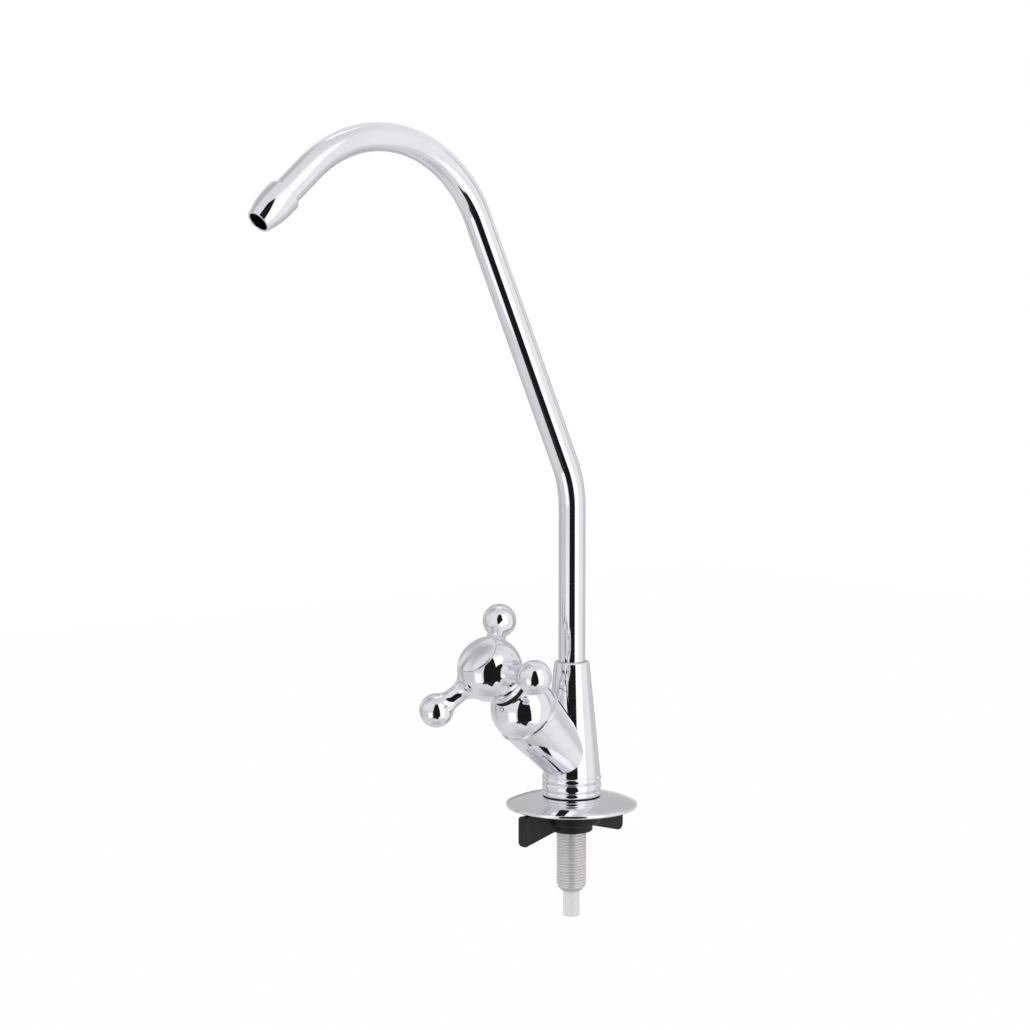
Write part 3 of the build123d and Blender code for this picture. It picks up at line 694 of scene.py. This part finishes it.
def crest_limit(height):
    """How far out the thread may reach at a height, both in mm: less at its two ends."""
    at_top = shank_radius - (height - upper_chamfer)
    at_bottom = shank_radius + (height - lower_chamfer) * lower_slope
    return max(crest_floor, min(shank_radius, at_top, at_bottom))


for vertex in ridge.data.vertices:
    reach = sqrt(vertex.co.x**2 + vertex.co.y**2)
    share = min(1.0, crest_limit(vertex.co.z / mm) * mm / reach)
    vertex.co.x *= share
    vertex.co.y *= share
print("thread faces:", len(ridge.data.polygons))
shank = join_pieces("threaded_tube", [shank, ridge])
mount_piece(shank, "root", "threaded_shank", "shank_steel")

# %% [markdown]
# ## Inlet tail
#
# The white plastic tail hangs out of the shank and takes the water line. It is moulded, so
# its mouth has a small round on both edges and a bore that shows from below.

# %% Inlet tail
tail_radius = 3.175
tail_bore = 2.1
tail_end = -41.6
collar_radius = 4.18
collar_top = -18.0
outer_round = 0.5
inner_round = 0.25

tail_outline = [(tail_bore, tail_end + inner_round), (tail_bore, collar_top)]
tail_outline += [(collar_radius, collar_top), (collar_radius, collar_seat)]
tail_outline += [(3.5, collar_seat), (3.5, shank_end), (tail_radius, shank_end)]
tail_outline += [(tail_radius, -36.0), (tail_radius, tail_end + outer_round)]
outer_corner = (tail_radius - outer_round, tail_end + outer_round)
tail_outline += arc_points(outer_corner, outer_round, 0, -90, 6)
inner_corner = (tail_bore + inner_round, tail_end + inner_round)
tail_outline += arc_points(inner_corner, inner_round, -90, -180, 4)
tail = turned_piece("water_tail", tail_outline, sides=96)
mount_piece(tail, "root", "inlet_tail", "white_plastic")

# %% [markdown]
# ## Fixing washer and wing nut
#
# Under the counter sit a moulded washer and a wing nut. The nut's flange and collar are
# turned, and each wing is a flat plate: its corners are rounded first, then it is extruded to
# its thickness and its edges are broken, as the draft and radii of a mould do. Outside the
# washer the wings rise almost to the plate, so that a finger gets more to push.

# %% Fixing washer
washer_bore = 5.9
washer_radius = 12.0
washer_top, washer_low = -0.3, -1.5
washer_outline = [(washer_bore, washer_top), (7.2, washer_top), (11.75, washer_top)]
washer_outline += [(washer_radius, -0.5), (washer_radius, -1.3), (11.8, washer_low)]
washer_outline += [(7.4, washer_low), (washer_bore, washer_low), (washer_bore, washer_top)]
washer = soften_edges(turned_piece("black_washer", washer_outline), 0.12)
mount_piece(washer, "washer", "fixing_washer", "black_plastic")

# %% Nut's flange and collar
nut_top = -1.55
nut_bore = 5.6
flange_radius = 10.8
flange_round = 0.5
collar_out = 7.9
low_round = 0.6

nut_outline = [(nut_bore, nut_top), (flange_radius - flange_round, nut_top)]
flange_corner = (flange_radius - flange_round, nut_top - flange_round)
nut_outline += arc_points(flange_corner, flange_round, 90, 0, 5)
nut_outline += [(flange_radius, -2.6), (flange_radius, -5.0)]
nut_outline += arc_points((flange_radius - low_round, -5.45), low_round, 0, -90, 6)
nut_outline += [(8.3, -6.05), (collar_out, -6.4), (collar_out, -8.0)]
nut_outline += arc_points((collar_out - low_round, -8.55), low_round, 0, -90, 6)
nut_outline += [(6.2, -9.15), (nut_bore, -8.7), (nut_bore, nut_top)]
nut = turned_piece("nut_core", nut_outline)
print("nut core faces:", len(nut.data.polygons))


# %% Tools for the wings
def select_points(piece, rule):
    """In edit mode, select the points that the rule accepts, measured in millimetres."""
    bpy.ops.mesh.select_all(action="DESELECT")
    bpy.ops.object.mode_set(mode="OBJECT")
    for vertex in piece.data.vertices:
        vertex.select = bool(rule(vertex.co / mm))
    bpy.ops.object.mode_set(mode="EDIT")


def raise_selection(height):
    """Lift what is selected, by a height in millimetres."""
    bpy.ops.transform.translate(value=(0, 0, height * mm))


def round_selection(radius, segments):
    """Round the selected corners of a flat plate."""
    bpy.ops.mesh.bevel(
        offset=radius * mm, offset_type="OFFSET", segments=segments, affect="VERTICES"
    )


print("ready to shape the wings")

# %% Plate of one wing
wing_height = 8.4
wing_length = 19.3
wing_thickness = 2.2
wing_middle = -6.4
wing_out = -15.85
tip_side = -20
tip_drop = 2.25
root_rise = 2.85


def corner_rule(upper, tip):
    """Accept one corner of the wing: upper or lower, at the tip or at the root."""
    return lambda point: (point.z > wing_middle) == upper and (point.y < tip_side) == tip


deselect_all()
bpy.ops.mesh.primitive_plane_add(size=1, rotation=(0, radians(90), 0))
wing = bpy.context.object
wing.name = "wing"
wing.scale = (wing_height * mm, wing_length * mm, 1)
wing.location = (-wing_thickness / 2 * mm, wing_out * mm, wing_middle * mm)
bpy.ops.object.transform_apply(location=True, rotation=True, scale=True)
bpy.ops.object.mode_set(mode="EDIT")
bpy.ops.mesh.select_mode(type="VERT")
select_points(wing, corner_rule(upper=False, tip=True))
raise_selection(-tip_drop)
select_points(wing, corner_rule(upper=False, tip=False))
raise_selection(root_rise)
select_points(wing, corner_rule(upper=False, tip=True))
round_selection(2.9, segments=10)
select_points(wing, corner_rule(upper=True, tip=True))
round_selection(1.0, segments=6)
bpy.ops.mesh.select_all(action="SELECT")
bpy.ops.mesh.extrude_region_move(TRANSFORM_OT_translate={"value": (wing_thickness * mm, 0, 0)})
settle_mesh(wing)
print("wing corners:", len(wing.data.vertices))

# %% Step in the wing's top, outside the washer
step_start, step_end = -12.4, -13.2
wing_lift = 1.5
bpy.ops.object.mode_set(mode="EDIT")
for cut in (step_start, step_end):
    bpy.ops.mesh.select_all(action="SELECT")
    bpy.ops.mesh.bisect(plane_co=(0, cut * mm, 0), plane_no=(0, 1, 0), use_fill=False)
select_points(wing, lambda point: point.z > -4 and point.y < -13)
raise_selection(wing_lift)
bpy.ops.object.mode_set(mode="OBJECT")
print("wing corners with the step:", len(wing.data.vertices))

# %% Round the wings' edges and join the nut
wing = soften_edges(wing, 0.35, segments=4, angle=50)
other_wing = place_piece(copy_piece(wing), turn=(0, 0, 180))
nut = join_pieces("wing_nut_black", [nut, wing, other_wing])
mount_piece(nut, "nut", "wing_nut", "black_plastic")

# %% [markdown]
# ## Shared effects
#
# Several finishes need the same two effects. Fine grain gives uneven roughness and a tiny
# bump: polished plate has faint wipe marks, plastic has the mould's texture. Root shade is
# painted shade: it darkens what lies deep towards an axis, such as the bottom of a thread or
# groove. Each is a node group, built once and placed in each material with its own values.


# %% A new node group
def new_group(name, inputs, outputs):
    """An empty shader node group with named number inputs and outputs."""
    group = bpy.data.node_groups.new(name, "ShaderNodeTree")
    kind = "NodeSocketFloat"
    for label, value in inputs:
        socket = group.interface.new_socket(name=label, in_out="INPUT", socket_type=kind)
        socket.default_value = value
    for label in outputs:
        group.interface.new_socket(name=label, in_out="OUTPUT", socket_type=kind)
    return group


print("ready to build node groups")

# %% Node group: fine grain
grain_inputs = [("Size", 900.0), ("Low", 0.2), ("High", 0.4)]
grain = new_group("fine_grain", grain_inputs, ["Value", "Height"])
links = grain.links
entry = grain.nodes.new("NodeGroupInput")
leave = grain.nodes.new("NodeGroupOutput")
where = grain.nodes.new("ShaderNodeTexCoord")
fine = grain.nodes.new("ShaderNodeTexNoise")
fine.inputs["Detail"].default_value = 4.0
broad = grain.nodes.new("ShaderNodeTexNoise")
broad.inputs["Scale"].default_value = 70.0
broad.inputs["Detail"].default_value = 2.0
blend = grain.nodes.new("ShaderNodeMath")
blend.operation = "MULTIPLY"
stretch = grain.nodes.new("ShaderNodeMapRange")
stretch.inputs["From Min"].default_value = 0.12
stretch.inputs["From Max"].default_value = 0.42
links.new(where.outputs["Object"], fine.inputs["Vector"])
links.new(where.outputs["Object"], broad.inputs["Vector"])
links.new(entry.outputs["Size"], fine.inputs["Scale"])
links.new(fine.outputs["Fac"], blend.inputs[0])
links.new(broad.outputs["Fac"], blend.inputs[1])
links.new(blend.outputs[0], stretch.inputs["Value"])
links.new(entry.outputs["Low"], stretch.inputs["To Min"])
links.new(entry.outputs["High"], stretch.inputs["To Max"])
links.new(stretch.outputs["Result"], leave.inputs["Value"])
links.new(fine.outputs["Fac"], leave.inputs["Height"])
print("group:", grain.name)

# %% Node group: root shade
root_shade = new_group("root_shade", [("Deep", 0.0049), ("Crest", 0.0055)], ["Mask"])
links = root_shade.links
entry = root_shade.nodes.new("NodeGroupInput")
leave = root_shade.nodes.new("NodeGroupOutput")
where = root_shade.nodes.new("ShaderNodeTexCoord")
flat = root_shade.nodes.new("ShaderNodeVectorMath")
flat.operation = "MULTIPLY"
flat.inputs[1].default_value = (1, 1, 0)
out_from_axis = root_shade.nodes.new("ShaderNodeVectorMath")
out_from_axis.operation = "LENGTH"
depth = root_shade.nodes.new("ShaderNodeMapRange")
links.new(where.outputs["Object"], flat.inputs[0])
links.new(flat.outputs[0], out_from_axis.inputs[0])
links.new(out_from_axis.outputs["Value"], depth.inputs["Value"])
links.new(entry.outputs["Deep"], depth.inputs["From Min"])
links.new(entry.outputs["Crest"], depth.inputs["From Max"])
links.new(depth.outputs["Result"], leave.inputs["Mask"])
print("group:", root_shade.name)

# %% [markdown]
# ## Finishes
#
# Each finish is a Principled material. Its colour drifts a little between two near tones,
# its roughness comes from the grain group, and the same grain gives a shallow bump. Numbers
# that are the same all over, such as metallic, sit on the shader's own sockets.


# %% Material recipe
def finish_material(name, dark, light, metallic, size, low, high, bump):
    """A material whose tone, roughness and relief vary over the surface.

    The tone drifts from dark to light, the roughness from low to high, and size is the
    grain's scale.
    """
    material = bpy.data.materials.new(name)
    material.use_nodes = True
    nodes = material.node_tree.nodes
    wires = material.node_tree.links
    shader = nodes["Principled BSDF"]
    shader.inputs["Metallic"].default_value = metallic
    where = nodes.new("ShaderNodeTexCoord")
    patches = nodes.new("ShaderNodeTexNoise")
    patches.inputs["Scale"].default_value = 40.0
    patches.inputs["Detail"].default_value = 3.0
    tone = nodes.new("ShaderNodeValToRGB")
    tone.color_ramp.elements[0].position = 0.35
    tone.color_ramp.elements[0].color = (*dark, 1)
    tone.color_ramp.elements[1].position = 0.65
    tone.color_ramp.elements[1].color = (*light, 1)
    texture = nodes.new("ShaderNodeGroup")
    texture.node_tree = grain
    texture.inputs["Size"].default_value = size
    texture.inputs["Low"].default_value = low
    texture.inputs["High"].default_value = high
    relief = nodes.new("ShaderNodeBump")
    relief.inputs["Strength"].default_value = bump
    relief.inputs["Distance"].default_value = 0.05 * mm
    wires.new(where.outputs["Object"], patches.inputs["Vector"])
    wires.new(patches.outputs["Fac"], tone.inputs["Fac"])
    wires.new(tone.outputs["Color"], shader.inputs["Base Color"])
    wires.new(texture.outputs["Value"], shader.inputs["Roughness"])
    wires.new(texture.outputs["Height"], relief.inputs["Height"])
    wires.new(relief.outputs["Normal"], shader.inputs["Normal"])
    return material


print("recipe ready")

# %% Finishes of the outer pieces
chrome = finish_material(
    "mirror_chrome", dark=(0.80, 0.785, 0.83), light=(0.85, 0.84, 0.88),
    metallic=1.0, size=260, low=0.03, high=0.07, bump=0.01,
)
steel = finish_material(
    "satin_shank_steel", dark=(0.68, 0.66, 0.65), light=(0.79, 0.77, 0.76),
    metallic=0.4, size=1500, low=0.36, high=0.5, bump=0.15,
)
black = finish_material(
    "moulded_black_plastic", dark=(0.009, 0.009, 0.011), light=(0.017, 0.016, 0.017),
    metallic=0, size=2600, low=0.42, high=0.64, bump=0.35,
)
black.node_tree.nodes["Principled BSDF"].inputs["Specular IOR Level"].default_value = 0.3
rubber = finish_material(
    "matte_black_rubber", dark=(0.016, 0.016, 0.017), light=(0.03, 0.03, 0.031),
    metallic=0, size=1800, low=0.7, high=0.9, bump=0.5,
)
white = finish_material(
    "white_moulded_plastic", dark=(0.74, 0.74, 0.73), light=(0.8, 0.8, 0.79),
    metallic=0, size=900, low=0.25, high=0.4, bump=0.08,
)
print("outer finishes:", [finish.name for finish in (chrome, steel, black, rubber, white)])

# %% Finishes of the pieces inside
brass = finish_material(
    "turned_brass", dark=(0.62, 0.45, 0.2), light=(0.78, 0.6, 0.31),
    metallic=1.0, size=1400, low=0.18, high=0.34, bump=0.2,
)
spring = finish_material(
    "spring_steel_strip", dark=(0.46, 0.46, 0.47), light=(0.6, 0.6, 0.61),
    metallic=1.0, size=1200, low=0.24, high=0.4, bump=0.2,
)
ceramic = finish_material(
    "lapped_ceramic", dark=(0.82, 0.81, 0.77), light=(0.93, 0.92, 0.89),
    metallic=0, size=3000, low=0.08, high=0.2, bump=0.05,
)
fibre = finish_material(
    "red_fibre", dark=(0.28, 0.09, 0.06), light=(0.42, 0.15, 0.1),
    metallic=0, size=3200, low=0.6, high=0.85, bump=0.6,
)
print("inner finishes:", [finish.name for finish in (brass, spring, ceramic, fibre)])

# %% Thread of the shank: painted shade, darker towards its root
painted_groove_shade = (0.56, 0.545, 0.525, 1)
nodes = steel.node_tree.nodes
wires = steel.node_tree.links
shader = nodes["Principled BSDF"]
tone = shader.inputs["Base Color"].links[0].from_node
shade = nodes.new("ShaderNodeGroup")
shade.node_tree = root_shade
shade.inputs["Deep"].default_value = 0.0047
shade.inputs["Crest"].default_value = 0.0054
deep = nodes.new("ShaderNodeMix")
deep.data_type = "RGBA"
mix_share, mix_deep, mix_crest, mix_result = 0, 6, 7, 2
deep.inputs[mix_deep].default_value = painted_groove_shade
wires.new(shade.outputs["Mask"], deep.inputs[mix_share])
wires.new(tone.outputs["Color"], deep.inputs[mix_crest])
wires.new(deep.outputs[mix_result], shader.inputs["Base Color"])
print("thread shaded")

# %% [markdown]
# ## Give every piece its finish
#
# The new pieces take their slot's material. The solids that stay, such as the cartridge, the
# rings and the clips inside, keep their shape and get the same kind of finish in their own
# material slot, so a cut or an opened tap would look right too.

# %% Assign the finishes
finish_of_slot = {
    "chrome": chrome,
    "shank_steel": steel,
    "black_plastic": black,
    "black_rubber": rubber,
    "white_plastic": white,
    "brass": brass,
    "spring_steel": spring,
    "ceramic": ceramic,
    "fibre": fibre,
}
shown_pieces = [plate, body, foot_shade_ring, bonnet, handle, handle_shade_ring, cap, tube, nozzle]
shown_pieces += [shank, tail, washer, nut]
for piece in shown_pieces:
    piece.data.materials.clear()
    piece.data.materials.append(finish_of_slot[piece["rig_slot"]])
for part in frame["record"]["subparts"]:
    solid = frame["nodes"][part["node"]]
    for slot in solid.material_slots:
        slot.material = finish_of_slot[part["material_slot"]]

# %% [markdown]
# ## Studio
#
# Chrome has no colour of its own: it shows the room. The photograph was taken in a white
# tent, with the dark camera and its stand in front. The world gives mirror rays the tent's
# cloth, grey below and pale above, and gives the camera plain white. Everything else that
# the chrome shows is a card that only mirror rays see:
#
# - dark cards that paint the reflection of the camera, its stand and its foot, which draw
#   the dark line along each tube and the dark spot on each ball,
# - bright glowing cards in front on both sides, at the right and overhead, which paint the
#   white bands as highlights,
# - soft grey glowing cards and bands at the sides, behind and below, which paint the grey
#   edges that set white chrome apart from a white background.
#
# The cards are painted reflections: they glow, but they are no lamps and light nothing.
#
# Three soft boxes light what isn't a mirror, and mirror rays don't see them. The floor lies
# well below the tap, so that it stays even and pale.

# %% World
cloth_tones = [(0.0, 0.32), (0.3, 0.5), (0.46, 0.68), (0.56, 0.84), (0.8, 0.92), (1.0, 0.8)]
cool_tint = 1.02

world = bpy.data.worlds.new("white_tent")
bpy.context.scene.world = world
world.use_nodes = True
nodes = world.node_tree.nodes
wires = world.node_tree.links
background = nodes["Background"]
background.inputs["Color"].default_value = (1, 1, 1, 1)
tent = nodes.new("ShaderNodeBackground")
where = nodes.new("ShaderNodeTexCoord")
apart = nodes.new("ShaderNodeSeparateXYZ")
height = nodes.new("ShaderNodeMapRange")
height.inputs["From Min"].default_value = -1.0
cloth = nodes.new("ShaderNodeValToRGB")
while len(cloth.color_ramp.elements) < len(cloth_tones):
    cloth.color_ramp.elements.new(0.5)
for element, (position, level) in zip(cloth.color_ramp.elements, cloth_tones):
    element.position = position
    element.color = (level, level, level * cool_tint, 1)
path = nodes.new("ShaderNodeLightPath")
seen = nodes.new("ShaderNodeMath")
seen.operation = "MAXIMUM"
room = nodes.new("ShaderNodeMixShader")
wires.new(where.outputs["Generated"], apart.inputs[0])
wires.new(apart.outputs["Z"], height.inputs["Value"])
wires.new(height.outputs["Result"], cloth.inputs["Fac"])
wires.new(cloth.outputs["Color"], tent.inputs["Color"])
wires.new(path.outputs["Is Camera Ray"], seen.inputs[0])
wires.new(path.outputs["Is Transmission Ray"], seen.inputs[1])
wires.new(seen.outputs[0], room.inputs["Fac"])
wires.new(tent.outputs[0], room.inputs[1])
wires.new(background.outputs[0], room.inputs[2])
wires.new(room.outputs[0], nodes["World Output"].inputs["Surface"])
bpy.context.scene.view_settings.view_transform = "Standard"
print("world:", world.name)

# %% Where a card stands, and what sees it
middle = Vector((0, -0.045, 0.07))


def card_point(turn, rise, distance):
    """A point seen from the tap, at a turn to the right of the camera and a rise, in degrees."""
    heading = camera_turn + radians(turn)
    flat_reach = distance * cos(radians(rise))
    return middle + Vector(
        (sin(heading) * flat_reach, -cos(heading) * flat_reach, distance * sin(radians(rise)))
    )


def card_object(name, mesh, material):
    """Put a card's mesh in the scene, and hide it from all but mirror rays."""
    mesh.materials.append(material)
    card = bpy.data.objects.new(name, mesh)
    bpy.context.scene.collection.objects.link(card)
    card.visible_camera = False
    card.visible_diffuse = False
    card.visible_shadow = False
    card.visible_transmission = False
    return card


def reflection_glow_material(name, level, soft):
    """Glow of one level for a painted reflection, which fades out at a soft card's edge."""
    material = bpy.data.materials.new(name)
    material.use_nodes = True
    inner = material.node_tree.nodes
    wires = material.node_tree.links
    inner.remove(inner["Principled BSDF"])
    glow = inner.new("ShaderNodeEmission")
    glow.inputs["Color"].default_value = (level, level, level, 1)
    surface = inner["Material Output"].inputs["Surface"]
    if not soft:
        wires.new(glow.outputs[0], surface)
        return material
    clear = inner.new("ShaderNodeBsdfTransparent")
    fade = inner.new("ShaderNodeAttribute")
    fade.attribute_name = "fade"
    both_kinds = inner.new("ShaderNodeMixShader")
    wires.new(fade.outputs["Fac"], both_kinds.inputs["Fac"])
    wires.new(clear.outputs[0], both_kinds.inputs[1])
    wires.new(glow.outputs[0], both_kinds.inputs[2])
    wires.new(both_kinds.outputs[0], surface)
    return material


print("cards stand round", [round(value, 3) for value in middle])


# %% Crisp dark cards: painted dark reflections
def painted_dark_reflection(name, corners, level, distance=1.2):
    """A crisp flat card through several corners, each a turn and a rise in degrees: a painted dark
    reflection.
    """
    mesh = bpy.data.meshes.new(name)
    points = [tuple(card_point(turn, rise, distance)) for turn, rise in corners]
    mesh.from_pydata(points, [], [tuple(range(len(points)))])
    return card_object(name, mesh, reflection_glow_material(name, level, soft=False))


camera_shape = [(-21, -35), (33, -35), (25, 0), (16, 50), (-8, 50), (-20, 0)]
painted_dark_reflection("dark_camera_card", camera_shape, 0.012)
stand_shape = [(-32, -44), (26, -37), (26, -34), (-20, -34)]
painted_dark_reflection("dark_stand_card", stand_shape, 0.03)
foot_shape = [(-14, -41), (0, -51), (15, -55), (20, -43), (26, -36)]
painted_dark_reflection("dark_foot_card", foot_shape, 0.02, distance=1.0)
print("dark cards placed")


# %% Soft cards: glowing cards that paint highlights
def soft_step(inward):
    """Ease from 0 at a card's edge to 1 where its full light begins."""
    share = min(1.0, max(0.0, inward))
    return share * share * (3 - 2 * share)


def painted_glow_reflection(name, corners, level, edge=0.4, distance=1.7, rows=14):
    """A painted reflection: a glowing card, no lamp, between four corners, lower left first, whose
    light fades towards its edges.
    """
    ends = [card_point(turn, rise, distance) for turn, rise in corners]
    points = []
    fades = []
    for down in range(rows + 1):
        for over in range(rows + 1):
            across, up = over / rows, down / rows
            weights = ((1 - across) * (1 - up), across * (1 - up), across * up, (1 - across) * up)
            spot = sum((weight * end for weight, end in zip(weights, ends)), Vector())
            points.append(tuple(spot))
            fades.append(soft_step(min(across, 1 - across, up, 1 - up) / (edge / 2)))
    faces = []
    for down in range(rows):
        for over in range(rows):
            first = down * (rows + 1) + over
            faces.append((first, first + 1, first + rows + 2, first + rows + 1))
    mesh = bpy.data.meshes.new(name)
    mesh.from_pydata(points, [], faces)
    layer = mesh.attributes.new("fade", "FLOAT", "POINT")
    layer.data.foreach_set("value", fades)
    return card_object(name, mesh, reflection_glow_material(name, level, soft=True))


right_shape = [(20, -48), (72, -48), (70, 55), (12, 55)]
painted_glow_reflection("bright_right_card", right_shape, 1.3, edge=0.5)
left_shape = [(-66, -50), (-22, -50), (-20, 2), (-58, 2)]
painted_glow_reflection("bright_left_card", left_shape, 1.2, edge=0.6)
side_shape = [(52, -52), (114, -52), (116, 52), (58, 52)]
painted_glow_reflection("bright_side_card", side_shape, 0.96, edge=0.7)
overhead_shape = [(140, 62), (220, 62), (220, 78), (140, 78)]
painted_glow_reflection("overhead_card", overhead_shape, 1.4, edge=0.6)
print("bright cards placed")

# %% Grey cards and bands: painted grey reflections
upper_left_shape = [(-156, 14), (-72, 14), (-66, 76), (-150, 76)]
painted_glow_reflection("grey_upper_left_card", upper_left_shape, 0.54, edge=0.8)
back_shape = [(228, -22), (132, -22), (135, 38), (225, 38)]
painted_glow_reflection("grey_back_card", back_shape, 0.57, edge=0.4, distance=0.25)
ground_shape = [(45, -48), (135, -48), (225, -48), (315, -48)]
painted_glow_reflection("grey_ground_card", ground_shape, 0.56, edge=1.0, distance=0.8)
left_band = [(-126, -38), (-104, -38), (-104, 52), (-126, 52)]
painted_glow_reflection("grey_left_band", left_band, 0.4, edge=1.0)
right_band = [(84, -38), (106, -38), (106, 52), (84, 52)]
painted_glow_reflection("grey_right_band", right_band, 0.68, edge=1.0)
upper_band = [(95, -6), (117, -6), (124, 38), (102, 38)]
painted_glow_reflection("grey_upper_band", upper_band, 0.4, edge=1.0, distance=1.6)
back_band = [(171, -20), (189, -20), (186, 47), (174, 47)]
painted_dark_reflection("dark_back_card", back_band, 0.03, distance=0.24)
print("grey cards placed")

# %% Soft boxes


def soft_box(name, turn, rise, distance, width, height, watts):
    """A rectangular lamp that faces the tap."""
    lamp = bpy.data.lights.new(name, "AREA")
    lamp.shape = "RECTANGLE"
    lamp.size = width
    lamp.size_y = height
    lamp.energy = watts
    box = bpy.data.objects.new(name, lamp)
    bpy.context.scene.collection.objects.link(box)
    box.visible_glossy = False
    box.location = card_point(turn, rise, distance)
    aim = middle - box.location
    box.rotation_euler = aim.to_track_quat("-Z", "Y").to_euler()
    return box


soft_box("left_soft_box", -75, 25, 1.4, 0.9, 1.2, 5)
soft_box("right_soft_box", 62, 25, 1.4, 0.9, 1.2, 5)
soft_box("top_soft_box", 0, 85, 1.3, 1.2, 1.2, 3)
print("lamps:", len(bpy.data.lights))

# %% Floor
floor_level = -0.9
floor_tone = (0.62, 0.62, 0.62, 1)
white_to_camera = 0.985
white_to_gloss = 0.32

deselect_all()
bpy.ops.mesh.primitive_plane_add(size=12, location=(0, 0, floor_level))
floor = bpy.context.object
floor.name = "studio_floor"
paper = bpy.data.materials.new("floor_paper")
paper.use_nodes = True
nodes = paper.node_tree.nodes
wires = paper.node_tree.links
shader = nodes["Principled BSDF"]
shader.inputs["Base Color"].default_value = floor_tone
shader.inputs["Roughness"].default_value = 0.9
glow = nodes.new("ShaderNodeEmission")
mix = nodes.new("ShaderNodeMixShader")
path = nodes.new("ShaderNodeLightPath")
seen = nodes.new("ShaderNodeMath")
seen.operation = "MAXIMUM"
gloss = nodes.new("ShaderNodeMath")
gloss.operation = "MULTIPLY"
gloss.inputs[1].default_value = white_to_gloss
both = nodes.new("ShaderNodeMath")
both.operation = "MAXIMUM"
share = nodes.new("ShaderNodeMath")
share.operation = "MULTIPLY"
share.inputs[1].default_value = white_to_camera
wires.new(path.outputs["Is Camera Ray"], seen.inputs[0])
wires.new(path.outputs["Is Transmission Ray"], seen.inputs[1])
wires.new(path.outputs["Is Glossy Ray"], gloss.inputs[0])
wires.new(seen.outputs[0], both.inputs[0])
wires.new(gloss.outputs[0], both.inputs[1])
wires.new(both.outputs[0], share.inputs[0])
wires.new(share.outputs[0], mix.inputs["Fac"])
wires.new(shader.outputs[0], mix.inputs[1])
wires.new(glow.outputs[0], mix.inputs[2])
wires.new(mix.outputs[0], nodes["Material Output"].inputs["Surface"])
floor.data.materials.append(paper)
print("floor ready")
